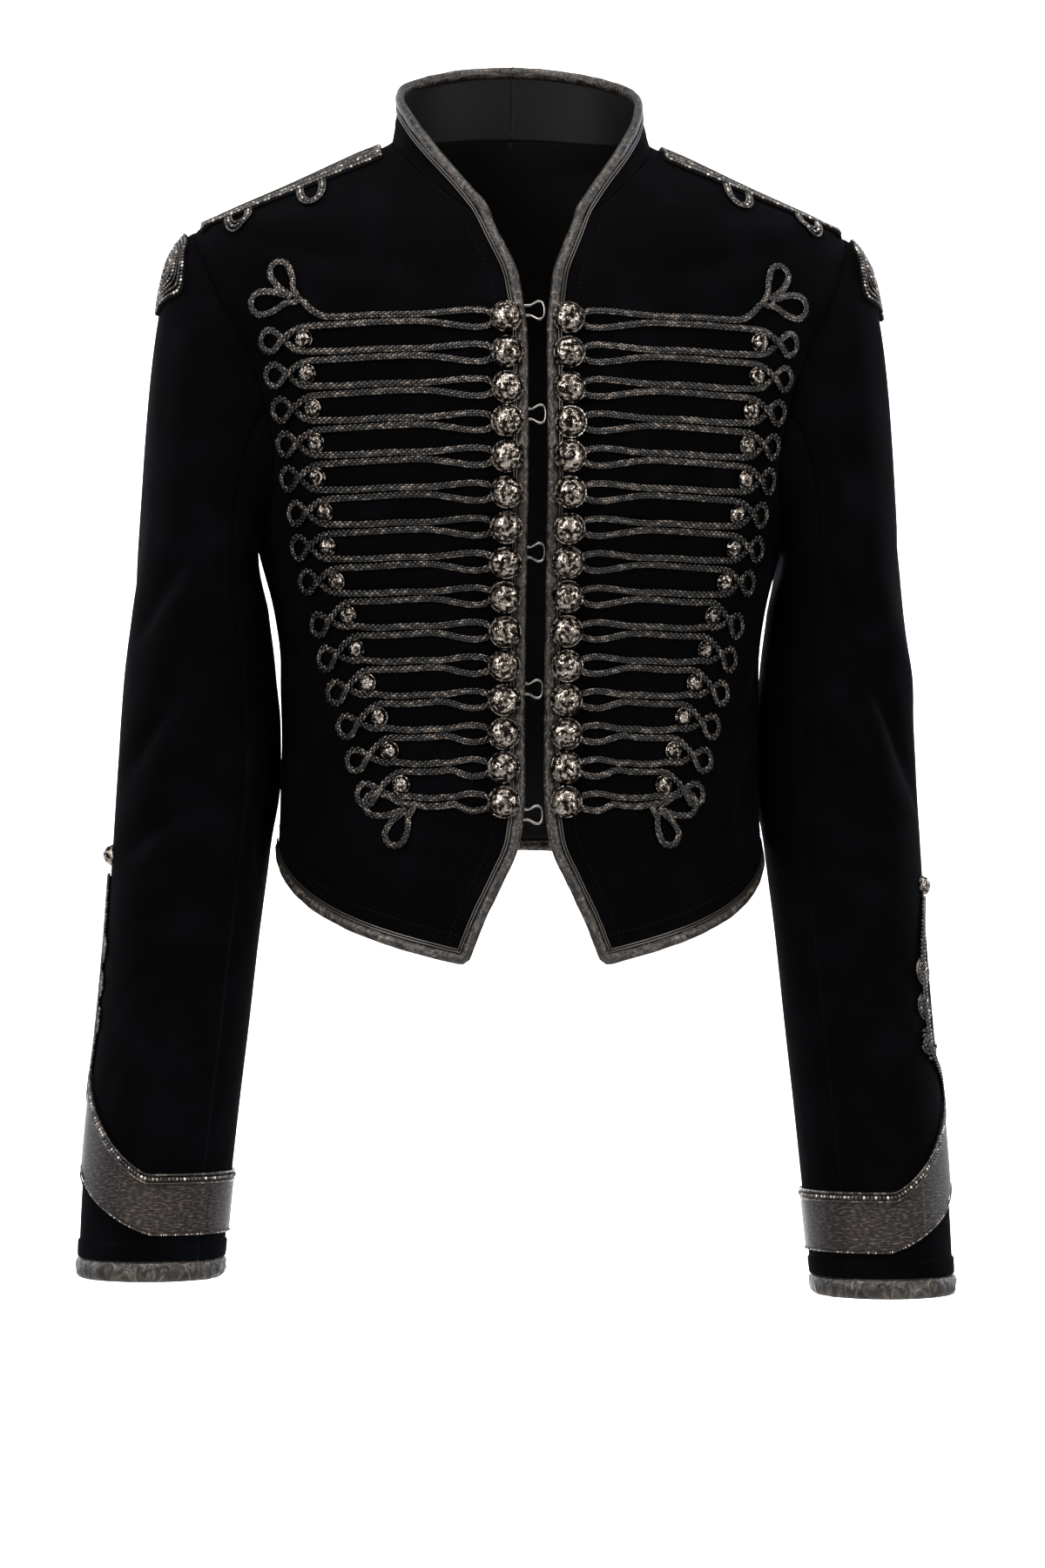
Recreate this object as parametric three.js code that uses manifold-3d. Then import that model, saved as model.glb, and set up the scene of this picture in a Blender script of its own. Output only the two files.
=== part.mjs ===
// A velvet hussar jacket in its worn shape, hollow and open at neck, hem and cuffs.
// Millimetres. +X is the wearer's left, the front faces -Y and +Z is up.
// The origin is at the base of the neck, midway between the two side neck points.
import * as THREE from "three";
import { mergeVertices } from "three/addons/utils/BufferGeometryUtils.js";
import Module from "manifold-3d";

const wasm = await Module();
wasm.setup();

// Cloth, seams and what lies on the cloth
const WALL = 2;
const SEAM = 0.3;
const LIFT = 0.65;

// Level sections of the jacket's body: half width, and depth before and behind the side seams.
const BODY = [
  { z: 12, half: 65, front: 24, back: 61 },
  { z: 0, half: 73.5, front: 30, back: 68 },
  { z: -10, half: 95, front: 44, back: 74 },
  { z: -28, half: 133, front: 64, back: 81 },
  { z: -46, half: 173, front: 79, back: 88 },
  { z: -53, half: 186, front: 84, back: 90 },
  { z: -70, half: 193, front: 94, back: 95 },
  { z: -90, half: 194, front: 103, back: 98 },
  { z: -120, half: 185, front: 111, back: 102 },
  { z: -142, half: 177, front: 114, back: 102 },
  { z: -190, half: 160, front: 117, back: 100 },
  { z: -235, half: 150, front: 109, back: 95 },
  { z: -270, half: 141, front: 102, back: 90 },
  { z: -300, half: 137, front: 98, back: 85 },
  { z: -345, half: 135.5, front: 94, back: 82 },
  { z: -411, half: 139, front: 97, back: 90 },
  { z: -480, half: 141, front: 101, back: 96 },
];

// The cut edge of a front, from the tip at the hem up to the foot of the collar.
const FRONT_EDGE = [
  { x: 41.3, z: -462 },
  { x: 33, z: -441 },
  { x: 23, z: -420 },
  { x: 14, z: -398 },
  { x: 11.3, z: -370 },
  { x: 11.3, z: -336 },
  { x: 11.3, z: -302 },
  { x: 11.3, z: -268 },
  { x: 11.3, z: -235 },
  { x: 11.3, z: -195 },
  { x: 11.3, z: -155 },
  { x: 11.3, z: -120 },
  { x: 14.8, z: -88 },
];

// The neckline seam by angle round the body, from the foot of the collar to the centre back,
// and the collar's upper edge over it.
const COLLAR = [
  { angle: 9.2, z: -50, topX: 29, topY: -82.5, topZ: -49 },
  { angle: 20, z: -34, topX: 43, topY: -63.5, topZ: -29 },
  { angle: 35, z: -18.5, topX: 55, topY: -47.5, topZ: -12.5 },
  { angle: 58, z: -6.3, topX: 65, topY: -27.5, topZ: 4.5 },
  { angle: 90, z: 0, topX: 70, topY: 2, topZ: 20.5 },
  { angle: 110, z: 2, topX: 67, topY: 22, topZ: 29 },
  { angle: 130, z: 5, topX: 56, topY: 40, topZ: 36 },
  { angle: 148, z: 7.5, topX: 39, topY: 52, topZ: 41.5 },
  { angle: 165, z: 9.5, topX: 19, topY: 58, topZ: 45 },
  { angle: 180, z: 10, topX: 0, topY: 60, topZ: 46 },
];
const SIDE_NECK_ROW = 4;
const COLLAR_ROWS = 3;
const COLLAR_GAP = 0.6;

// The hem's height at the side seam, its dip along each front, and the armhole.
const SIDE_HEM_Z = -401;
const HEM_DIP = 6.4;
const ARMHOLE = { middleZ: -144, halfHeight: 91, halfAngle: 31, steps: 9, gap: 0.5 };
const SIDE_SEAM_STEPS = 8;
const PANEL_COLUMNS = 8;

// Soft folds of the body: from and to by angle and height, with width and depth.
const BODY_FOLDS = [
  { angle: 48, z: -66, toAngle: 12, toZ: -92, width: 15, depth: -2.2 },
  { angle: 46, z: -92, toAngle: 22, toZ: -108, width: 12, depth: -1.4 },
  { angle: -48, z: -62, toAngle: -12, toZ: -90, width: 15, depth: -2.2 },
  { angle: -50, z: -90, toAngle: -26, toZ: -103, width: 12, depth: -1.4 },
  { angle: 76, z: -350, toAngle: 58, toZ: -396, width: 15, depth: -2.4 },
  { angle: 82, z: -300, toAngle: 66, toZ: -338, width: 14, depth: -1.6 },
  { angle: -80, z: -330, toAngle: -64, toZ: -372, width: 15, depth: -2 },
  { angle: -82, z: -268, toAngle: -70, toZ: -300, width: 13, depth: -1.6 },
  { angle: 118, z: -110, toAngle: 150, toZ: -140, width: 17, depth: -2.4 },
  { angle: -120, z: -120, toAngle: -150, toZ: -156, width: 17, depth: -2.2 },
  { angle: 112, z: -286, toAngle: 158, toZ: -312, width: 15, depth: -2.4 },
  { angle: -108, z: -300, toAngle: -150, toZ: -322, width: 15, depth: -2.6 },
  { angle: 120, z: -330, toAngle: 165, toZ: -344, width: 14, depth: -2 },
  { angle: -125, z: -345, toAngle: -168, toZ: -352, width: 14, depth: -1.8 },
];

// Level sections of a sleeve: its side next to the body, its outer side, and its middle and half depth in Y.
const SLEEVE = [
  { z: -270, inner: 144, outer: 222, middle: 4, depth: 59 },
  { z: -307, inner: 139.8, outer: 226.5, middle: 5, depth: 56.5 },
  { z: -357, inner: 138.6, outer: 230, middle: 7, depth: 53 },
  { z: -397, inner: 142, outer: 232.5, middle: 8, depth: 50 },
  { z: -455, inner: 149, outer: 236, middle: 4, depth: 47.5 },
  { z: -510, inner: 154.5, outer: 240, middle: -4, depth: 45.5 },
  { z: -546, inner: 158.3, outer: 243.5, middle: -10, depth: 44 },
  { z: -600, inner: 163.5, outer: 247, middle: -19, depth: 42.5 },
  { z: -662, inner: 169, outer: 249, middle: -29, depth: 40.5 },
];
const SLEEVE_TOP_Z = -270;
const CAP_STEPS = 7;
const TUBE_STEPS = 13;
const HEM_BAND = { height: 9.5, raise: 0.9 };

// The two arms: which side, where the velvet ends, how far the wrist leans out, and the line of the ornament.
const ARMS = [
  { name: "left", side: 1, end: -647, lean: -2.5, ornament: { button: 20, rosette: 36, peak: 7 } },
  { name: "right", side: -1, end: -634, lean: 4, ornament: { button: 4, rosette: 6, peak: 4 } },
];

// Angles round a sleeve run from its outer side through the front.
const SLEEVE_COLUMNS = 18;
const HIND_SEAM = { top: -40, foot: -12 };
const FORE_SEAM_COLUMN = 7;
const SLEEVE_SEAM_INSET = 0.28;

// Creases of the sleeves, on the arm named: from and to by height and angle, with width and depth.
const SLEEVE_FOLDS = [
  { arm: "left", z: -262, angle: 96, toZ: -366, toAngle: 30, width: 15, depth: -4.2 },
  { arm: "left", z: -250, angle: 62, toZ: -318, toAngle: 20, width: 16, depth: 2.2 },
  { arm: "left", z: -330, angle: 118, toZ: -396, toAngle: 70, width: 15, depth: -2.6 },
  { arm: "left", z: -398, angle: 140, toZ: -420, toAngle: 62, width: 15, depth: -2.6 },
  { arm: "left", z: -528, angle: 104, toZ: -582, toAngle: 62, width: 13, depth: -2.2 },
  { arm: "right", z: -236, angle: 74, toZ: -284, toAngle: 24, width: 15, depth: -3.4 },
  { arm: "right", z: -312, angle: 72, toZ: -362, toAngle: 26, width: 15, depth: -3.4 },
  { arm: "right", z: -372, angle: 98, toZ: -406, toAngle: 26, width: 14, depth: -3.8 },
  { arm: "right", z: -340, angle: 160, toZ: -416, toAngle: 148, width: 14, depth: -2 },
  { arm: "right", z: -540, angle: 40, toZ: -566, toAngle: 10, width: 13, depth: -1.8 },
  { arm: "both", z: -196, angle: 118, toZ: -232, toAngle: 84, width: 15, depth: -2.6 },
  { arm: "both", z: -180, angle: 286, toZ: -236, toAngle: 322, width: 17, depth: -2.8 },
  { arm: "both", z: -300, angle: 250, toZ: -352, toAngle: 312, width: 16, depth: -3 },
  { arm: "both", z: -392, angle: 236, toZ: -410, toAngle: 318, width: 15, depth: -3.2 },
  { arm: "both", z: -440, angle: 242, toZ: -452, toAngle: 300, width: 14, depth: -2.2 },
];

// The embroidered cuff band, measured up from the velvet's end, with its point over the ornament's line.
const CUFF_BAND = {
  foot: 14, head: 48, footRise: 36, headRise: 56, footReach: 85, headReach: 78, columns: 36,
};
const CUFF_TRIM = { gap: SEAM, height: 11 };

// Frogging: rows of doubled cord, each closed by a button, and linked by loops at the sides.
const CORD = { width: 4, height: 2.6, spacing: 5.2, clear: 0.25 };
const ROWS = { first: -110.5, pitch: 19.08, count: 15, loopX: 25, flareX: 35, flare: 9.6, arch: 0.8 };
const LINKS = [127, 125, 122, 120, 119, 114.5, 113, 108, 101.5, 97, 91, 84.5, 79, 73];
const LINK_LOOP = { reach: 26.5, half: 6.4 };
const END_LOOP = { reach: 23, half: 6 };
const ROW_TOP = { x: 133, z: -97 };
const ROW_FOOT = { x: 69, z: -381 };
const BUTTON = { x: 17, radius: 9.3, height: 7.4, lift: 3.4 };
const SLEEVE_BUTTON = { radius: 6.2, height: 5.4, drop: { left: 221, right: 226 } };
const BALL = { radius: 5.4, height: 5.4 };

// The shoulder board, its loops and the leaf on the sleeve's head.
const BOARD = [
  { x: 80, half: 29 },
  { x: 92, half: 31 },
  { x: 130, half: 31 },
  { x: 150, half: 29.5 },
  { x: 168, half: 27 },
  { x: 182, half: 21 },
];
const BOARD_STOPS = [96, 143, 174.5, 178.5];
const BOARD_LIFT = { border: 3.6, field: 2.6, loops: 2.9 };
const BOARD_LOOPS = [
  { x: 121, reach: 21, half: 8.6 },
  { x: 162, reach: 15.5, half: 8 },
];
const BOARD_LOOP_ROPE = { rope: 4.6, steps: 7 };
const LEAF = [
  { along: 4, half: 9 },
  { along: 13, half: 21 },
  { along: 22, half: 25.5 },
  { along: 33, half: 19 },
  { along: 43, half: 9 },
  { along: 52, half: 1.2 },
];
const LEAF_ANGLE = 12;

// Hooks that bridge the gap between the fronts, by height.
const HOOKS = [-105, -163, -239, -314.5, -384.5];

const rad = THREE.MathUtils.degToRad;
const lerp = THREE.MathUtils.lerp;
const smooth = THREE.MathUtils.smoothstep;
const vec = (x, y, z) => new THREE.Vector3(x, y, z);
const count = (n) => Array.from({ length: n }, (_, i) => i);

// A smooth curve through one column of a table that never overshoots its rows.
function through(table, from, to) {
  const rows = [...table].sort((p, q) => p[from] - q[from]);
  const last = rows.length - 1;
  const slope = count(last).map((i) => (rows[i + 1][to] - rows[i][to]) / (rows[i + 1][from] - rows[i][from]));
  const tangent = rows.map((_, i) => {
    if (i === 0) return slope[0];
    if (i === last) return slope[last - 1];
    const product = slope[i - 1] * slope[i];
    return product <= 0 ? 0 : (2 * product) / (slope[i - 1] + slope[i]);
  });
  return (value) => {
    let i = 0;
    while (i < last - 1 && value > rows[i + 1][from]) i += 1;
    const gap = rows[i + 1][from] - rows[i][from];
    const t = (value - rows[i][from]) / gap;
    const bend = t * t * (3 - 2 * t);
    return (
      rows[i][to] * (1 - bend) +
      rows[i + 1][to] * bend +
      gap * t * (1 - t) * ((1 - t) * tangent[i] - t * tangent[i + 1])
    );
  };
}

// How much one fold moves the cloth: full along its line, and fading at its ends and to both sides.
function foldAt(along, across, fold) {
  if (along < -0.25 || along > 1.25) return 0;
  const ends = smooth(along, -0.25, 0.25) * (1 - smooth(along, 0.75, 1.25));
  return fold.depth * ends * Math.exp(-((across / fold.width) ** 2) * 2);
}

// The place of a point beside a line, along it from 0 to 1 and across it in millimetres.
function besideLine(u, v, toU, toV) {
  const length = Math.hypot(toU, toV);
  return { along: (u * toU + v * toV) / length ** 2, across: (u * toV - v * toU) / length };
}

const bodyHalf = through(BODY, "z", "half");
const bodyFront = through(BODY, "z", "front");
const bodyBack = through(BODY, "z", "back");
const FOLD_MM_PER_DEGREE = 2.1;

function bodyFold(angle, z) {
  let sum = 0;
  for (const fold of BODY_FOLDS) {
    const { along, across } = besideLine(
      (angle - fold.angle) * FOLD_MM_PER_DEGREE,
      z - fold.z,
      (fold.toAngle - fold.angle) * FOLD_MM_PER_DEGREE,
      fold.toZ - fold.z,
    );
    sum += foldAt(along, across, fold);
  }
  return sum;
}

function normalOf(surface, u, v, stepU, stepV) {
  const alongU = surface(u + stepU, v).sub(surface(u - stepU, v));
  const alongV = surface(u, v + stepV).sub(surface(u, v - stepV));
  return alongU.cross(alongV).normalize();
}

function bodyBase(angle, z) {
  const cosine = Math.cos(rad(angle));
  const depth = cosine >= 0 ? bodyFront(z) : bodyBack(z);
  return vec(bodyHalf(z) * Math.sin(rad(angle)), -depth * cosine, z);
}

function bodyCloth(angle, z) {
  return bodyBase(angle, z).addScaledVector(normalOf(bodyBase, angle, z, 0.5, 0.5), bodyFold(angle, z));
}

const bodyNormal = (angle, z) => normalOf(bodyCloth, angle, z, 0.5, 0.5);
const bodyPoint = (angle, z, out = 0) => bodyCloth(angle, z).addScaledVector(bodyNormal(angle, z), out);
const angleAtX = (x, z) => THREE.MathUtils.radToDeg(Math.asin(x / bodyHalf(z)));

// Millimetres of arc for each degree round the body at an angle and height.
function arcPerDegree(angle, z) {
  return bodyBase(angle + 0.5, z).distanceTo(bodyBase(angle - 0.5, z));
}

// A closed mesh from points and faces, turned inside out if its faces point inwards.
function solid(points, faces) {
  let volume = 0;
  for (const [a, b, c] of faces) volume += points[a].dot(points[b].clone().cross(points[c]));
  const facing = volume < 0 ? faces.map(([a, b, c]) => [a, c, b]) : faces;
  const geometry = new THREE.BufferGeometry();
  geometry.setAttribute("position", new THREE.Float32BufferAttribute(points.flatMap((p) => p.toArray()), 3));
  geometry.setIndex(facing.flat());
  return geometry;
}

// Collects outer and inner points and the cells between them, and closes the wall at every free edge.
class Wall {
  constructor() {
    this.outer = [];
    this.inner = [];
    this.cells = [];
    this.known = new Map();
  }

  point(outer, inner) {
    const key = outer.toArray().map((c) => Math.round(c * 1000)).join();
    if (!this.known.has(key)) {
      this.known.set(key, this.outer.length);
      this.outer.push(outer);
      this.inner.push(inner);
    }
    return this.known.get(key);
  }

  // Rows of point numbers, with cells between neighbouring rows, each split from its first corner or its second.
  addGrid(rows, fromSecond = false) {
    for (let r = 0; r + 1 < rows.length; r += 1) {
      for (let c = 0; c + 1 < rows[r].length; c += 1) {
        const cell = [rows[r][c], rows[r][c + 1], rows[r + 1][c + 1], rows[r + 1][c]];
        this.cells.push(fromSecond ? [...cell.slice(1), cell[0]] : cell);
      }
    }
  }

  close() {
    const shift = this.outer.length;
    const faces = [];
    const free = new Map();
    for (const cell of this.cells) {
      const corners = cell.filter((v, i) => v !== cell[(i + 1) % cell.length]);
      for (let i = 1; i + 1 < corners.length; i += 1) {
        faces.push([corners[0], corners[i], corners[i + 1]]);
        faces.push([shift + corners[0], shift + corners[i + 1], shift + corners[i]]);
      }
      corners.forEach((a, i) => {
        const b = corners[(i + 1) % corners.length];
        if (!free.delete(`${b},${a}`)) free.set(`${a},${b}`, [a, b]);
      });
    }
    for (const [a, b] of free.values()) {
      faces.push([b, a, shift + a], [b, shift + a, shift + b]);
    }
    return solid([...this.outer, ...this.inner], faces);
  }
}

// A bar along frames, each with a place, the directions of the section's two axes and at will its own section.
function sweep(frames, section) {
  const points = frames.flatMap(({ at, across, up, section: own }) =>
    (own ?? section).map(([a, u]) => at.clone().addScaledVector(across, a).addScaledVector(up, u)),
  );
  const sides = section.length;
  const faces = [];
  for (let i = 0; i + 1 < frames.length; i += 1) {
    const next = i + 1;
    for (let k = 0; k < sides; k += 1) {
      const side = (k + 1) % sides;
      const [a, b] = [i * sides + k, i * sides + side];
      const [c, d] = [next * sides + side, next * sides + k];
      faces.push([a, b, c], [a, c, d]);
    }
  }
  const end = (frames.length - 1) * sides;
  for (let k = 1; k + 1 < sides; k += 1) {
    faces.push([0, k + 1, k], [end, end + k, end + k + 1]);
  }
  return solid(points, faces);
}

// Frames along a line of places with their surface normals, with the section's across axis in the surface.
function framesAlong(spots) {
  return spots.map(({ at, normal }, i) => {
    const before = spots[Math.max(i - 1, 0)].at;
    const after = spots[Math.min(i + 1, spots.length - 1)].at;
    const across = after.clone().sub(before).cross(normal).normalize();
    return { at, across, up: normal };
  });
}

// The ridge of a cord lying on a surface, its flat side down, and a rounder one for thick rope.
const CORD_SECTION = [
  [-CORD.width / 2, 0],
  [0, CORD.height],
  [CORD.width / 2, 0],
];
const ropeSection = (width, height) => [
  [-width / 2, 0],
  [-width * 0.28, height],
  [width * 0.28, height],
  [width / 2, 0],
];

const JOIN_TOLERANCE = 0.06;

// Fuses closed pieces into one, without the pinholes that they close in between them.
function joined(geometries) {
  const bodies = geometries.map((geometry) => {
    geometry.deleteAttribute("normal");
    geometry.deleteAttribute("uv");
    const merged = mergeVertices(geometry, 1e-4);
    return new wasm.Manifold(
      new wasm.Mesh({
        numProp: 3,
        vertProperties: merged.attributes.position.array,
        triVerts: new Uint32Array(merged.index.array),
      }),
    );
  });
  const shells = wasm.Manifold.union(bodies).simplify(JOIN_TOLERANCE).decompose();
  const outer = shells.filter((shell) => shell.volume() > 0);
  const mesh = wasm.Manifold.union(outer).getMesh();
  const geometry = new THREE.BufferGeometry();
  geometry.setAttribute("position", new THREE.BufferAttribute(new Float32Array(mesh.vertProperties), 3));
  geometry.setIndex(new THREE.BufferAttribute(new Uint32Array(mesh.triVerts), 1));
  return geometry;
}

// A turned shape stood on a surface, its axis along the normal.
function turnedOn(profile, segments, at, normal) {
  const geometry = new THREE.LatheGeometry(profile.map(([r, h]) => new THREE.Vector2(r, h)), segments);
  const turn = new THREE.Quaternion().setFromUnitVectors(vec(0, 1, 0), normal);
  geometry.applyQuaternion(turn);
  geometry.translate(at.x, at.y, at.z);
  geometry.deleteAttribute("normal");
  geometry.deleteAttribute("uv");
  const merged = mergeVertices(geometry, 1e-4);
  const corners = Array.from(merged.index.array);
  const faces = count(corners.length / 3).map((i) => corners.slice(3 * i, 3 * i + 3));
  merged.setIndex(faces.filter((face) => new Set(face).size === 3).flat());
  return merged;
}

// The armhole by turn: 0 at the shoulder tip, 90 at its front, 180 under the arm and 270 behind.
function armhole(turn) {
  return {
    angle: 90 - ARMHOLE.halfAngle * Math.sin(rad(turn)),
    z: ARMHOLE.middleZ + ARMHOLE.halfHeight * Math.cos(rad(turn)),
  };
}

// The outer edge of a panel, up its side seam and round its half of the armhole.
function sideEdge(forward) {
  const underarm = ARMHOLE.middleZ - ARMHOLE.halfHeight;
  const seam = count(SIDE_SEAM_STEPS).map((i) => ({
    angle: 90,
    z: lerp(SIDE_HEM_Z, underarm, i / SIDE_SEAM_STEPS),
  }));
  const hole = count(ARMHOLE.steps + 1).map((i) => {
    const turn = 180 * (1 - i / ARMHOLE.steps);
    return armhole(forward ? turn : -turn);
  });
  return [...seam, ...hole];
}

// Half a seam's gap, as an angle at the side of the body.
function seamAngle(z) {
  const depth = Math.min(bodyFront(z), bodyBack(z));
  return THREE.MathUtils.radToDeg(SEAM / 2 / depth);
}

// Keeps a panel's point half a seam's gap in front of the side line, or behind it.
function clearOfSide(angle, z, forward) {
  const limit = seamAngle(z);
  return forward ? Math.min(angle, 90 - limit) : Math.max(angle, 90 + limit);
}

// Points of a panel ruled between its inner and side edges, row by row.
function panelRows(wall, innerEdge, forward, side, dip) {
  const outerEdge = sideEdge(forward);
  return innerEdge.map((inner, r) => {
    const outer = outerEdge[r];
    const fade = Math.max(0, 1 - r / SIDE_SEAM_STEPS) ** 2;
    return count(PANEL_COLUMNS + 1).map((c) => {
      const u = c / PANEL_COLUMNS;
      const z = lerp(inner.z, outer.z, u) - dip * fade * Math.sin(Math.PI * u);
      const angle = side * clearOfSide(lerp(inner.angle, outer.angle, u), z, forward);
      return wall.point(bodyPoint(angle, z), bodyPoint(angle, z, -WALL));
    });
  });
}

const frontEdge = FRONT_EDGE.map(({ x, z }) => ({ angle: angleAtX(x, z), z }));
const frontInner = [...frontEdge, ...COLLAR.slice(0, SIDE_NECK_ROW + 1)];
const backNeck = COLLAR.slice(SIDE_NECK_ROW).reverse();
const backCentre = count(frontInner.length - backNeck.length).map((i) => ({
  angle: 180,
  z: lerp(SIDE_HEM_Z, backNeck[0].z, i / (frontInner.length - backNeck.length)),
}));
const backInner = [...backCentre, ...backNeck];

function frontPanel(side) {
  const wall = new Wall();
  wall.addGrid(panelRows(wall, frontInner, true, side, HEM_DIP));
  return wall.close();
}

function backPanel() {
  const wall = new Wall();
  wall.addGrid(panelRows(wall, backInner, false, 1, 0));
  wall.addGrid(panelRows(wall, backInner, false, -1, 0).map((row) => row.reverse()), true);
  return wall.close();
}

// The collar's points at one row of its table, from the seam to its upper edge.
function collarColumn(row, side) {
  const angle = side * row.angle;
  const foot = bodyPoint(angle, row.z);
  const normal = bodyNormal(angle, row.z);
  const top = vec(side * row.topX, row.topY, row.topZ);
  const rise = top.clone().sub(foot);
  const step = rise.clone().addScaledVector(normal, -rise.dot(normal)).normalize();
  foot.addScaledVector(step, COLLAR_GAP);
  return { foot, top, rise, normal, inwards: foot.clone().addScaledVector(normal, -WALL) };
}

function collar() {
  const left = COLLAR.map((row) => collarColumn(row, 1));
  const right = COLLAR.slice(0, -1).map((row) => collarColumn(row, -1)).reverse();
  const columns = [...left, ...right];
  const wall = new Wall();
  const rows = count(COLLAR_ROWS + 1).map((r) =>
    columns.map((column, c) => {
      const before = columns[Math.max(c - 1, 0)];
      const after = columns[Math.min(c + 1, columns.length - 1)];
      const v = r / COLLAR_ROWS;
      const at = column.foot.clone().lerp(column.top, v);
      const along = after.foot.clone().lerp(after.top, v).sub(before.foot.clone().lerp(before.top, v));
      const out = along.cross(column.rise).normalize();
      if (out.dot(column.normal) < 0) out.negate();
      const inner = r === 0 ? column.inwards : at.clone().addScaledVector(out, -WALL);
      return wall.point(at, inner);
    }),
  );
  wall.addGrid(rows);
  return wall.close();
}

const sleeveInner = through(SLEEVE, "z", "inner");
const sleeveOuter = through(SLEEVE, "z", "outer");
const sleeveMiddle = through(SLEEVE, "z", "middle");
const sleeveDepth = through(SLEEVE, "z", "depth");
const LEAN_FROM_Z = -397;
const LEAN_TO_Z = -650;

// A level ring of the sleeve's tube, on the wearer's left.
function tubePoint(arm, z, angle) {
  const lean = arm.lean * smooth(-z, -LEAN_FROM_Z, -LEAN_TO_Z);
  const middle = (sleeveInner(z) + sleeveOuter(z)) / 2 + lean;
  const half = (sleeveOuter(z) - sleeveInner(z)) / 2;
  return vec(
    middle + half * Math.cos(rad(angle)),
    sleeveMiddle(z) - sleeveDepth(z) * Math.sin(rad(angle)),
    z,
  );
}

// The seam's start in the armhole, a gap in from the body's edge.
function capStart(angle) {
  const edge = armhole(angle);
  const at = bodyPoint(edge.angle, edge.z);
  const inwards = bodyPoint(lerp(edge.angle, 90, 0.02), lerp(edge.z, ARMHOLE.middleZ, 0.02)).sub(at);
  return at.addScaledVector(inwards.normalize(), ARMHOLE.gap);
}

// The sleeve's head, from the armhole to the top ring of the tube.
const CAP_PULL = 0.44;
const TUBE_PULL = 0.92;
function capPoint(arm, s, angle) {
  const start = capStart(angle);
  const end = tubePoint(arm, SLEEVE_TOP_Z, angle);
  const span = start.distanceTo(end);
  const outwards = vec(1, -0.15 * Math.sin(rad(angle)), -0.15 - 0.25 * Math.cos(rad(angle))).normalize();
  const down = tubePoint(arm, SLEEVE_TOP_Z - 1, angle).sub(end).normalize();
  const t = s;
  const bend = t * t * (3 - 2 * t);
  return start
    .multiplyScalar(1 - bend)
    .addScaledVector(end, bend)
    .addScaledVector(outwards, CAP_PULL * span * t * (1 - t) ** 2)
    .addScaledVector(down, -TUBE_PULL * span * t * t * (1 - t));
}

// A place on the sleeve: s runs 0 to 1 over its head and 1 to 2 down its tube.
function sleeveBase(arm, s, angle) {
  if (s <= 1) return capPoint(arm, s, angle);
  return tubePoint(arm, lerp(SLEEVE_TOP_Z, arm.end, s - 1), angle);
}

const SLEEVE_MM_PER_DEGREE = 0.8;
function sleeveFold(arm, angle, z) {
  let sum = 0;
  for (const fold of SLEEVE_FOLDS) {
    if (fold.arm !== "both" && fold.arm !== arm.name) continue;
    const centre = (fold.angle + fold.toAngle) / 2;
    const nearest = angle + 360 * Math.round((centre - angle) / 360);
    const { along, across } = besideLine(
      (nearest - fold.angle) * SLEEVE_MM_PER_DEGREE,
      z - fold.z,
      (fold.toAngle - fold.angle) * SLEEVE_MM_PER_DEGREE,
      fold.toZ - fold.z,
    );
    sum += foldAt(along, across, fold);
  }
  return sum;
}

function sleeveCloth(arm, s, angle) {
  const base = sleeveBase(arm, s, angle);
  const normal = normalOf((u, v) => sleeveBase(arm, Math.max(u, 0), v), s, angle, 0.01, 1).negate();
  const fade = smooth(s, 0.05, 0.4) * smooth(base.z - bandEdges(arm, angle).head, 6, 26);
  return base.addScaledVector(normal, fade * sleeveFold(arm, angle, base.z));
}

function sleeveNormal(arm, s, angle) {
  return normalOf((u, v) => sleeveCloth(arm, Math.max(u, 0), v), s, angle, 0.01, 1).negate();
}

// A sleeve's point on either side of the body, moved out along its normal.
function sleevePoint(arm, s, angle, out = 0) {
  const point = sleeveCloth(arm, s, angle).addScaledVector(sleeveNormal(arm, s, angle), out);
  point.x *= arm.side;
  return point;
}

function sleeveSpot(arm, s, angle, out = 0) {
  const normal = sleeveNormal(arm, s, angle);
  normal.x *= arm.side;
  return { at: sleevePoint(arm, s, angle, out), normal };
}

const tubeS = (arm, z) => 1 + (z - SLEEVE_TOP_Z) / (arm.end - SLEEVE_TOP_Z);

// The sleeve's rows, with a raised band of velvet above its end.
function sleeveRows(arm) {
  const bandTop = arm.end + HEM_BAND.height;
  const cap = count(CAP_STEPS).map((i) => ({ s: i / CAP_STEPS, raise: 0 }));
  const tube = count(TUBE_STEPS + 1).map((i) => {
    const z = lerp(SLEEVE_TOP_Z, bandTop + 1, i / TUBE_STEPS);
    return { s: tubeS(arm, z), raise: 0 };
  });
  const band = [bandTop, arm.end].map((z) => ({ s: tubeS(arm, z), raise: HEM_BAND.raise }));
  return [...cap, ...tube, ...band];
}

// The angle of a column, turned to the back at the armhole as a two-piece sleeve's seams are.
function columnAngle(column, s) {
  const seam = lerp(HIND_SEAM.top, HIND_SEAM.foot, smooth(s, 0, 1.5));
  return seam + (360 / SLEEVE_COLUMNS) * column;
}

// One piece of a sleeve, between two of its seams.
function sleevePiece(arm, from, to) {
  const wall = new Wall();
  const rows = sleeveRows(arm).map(({ s, raise }) =>
    count(to - from + 1).map((i) => {
      const column = from + i;
      const way = i === 0 ? 1 : i === to - from ? -1 : 0;
      const angle = columnAngle(column, s) + way * SLEEVE_SEAM_INSET;
      const outer = sleevePoint(arm, s, angle, raise);
      return wall.point(outer, s === 0 ? armholeInside(arm, angle) : sleevePoint(arm, s, angle, -WALL));
    }),
  );
  wall.addGrid(rows);
  return wall.close();
}

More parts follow.
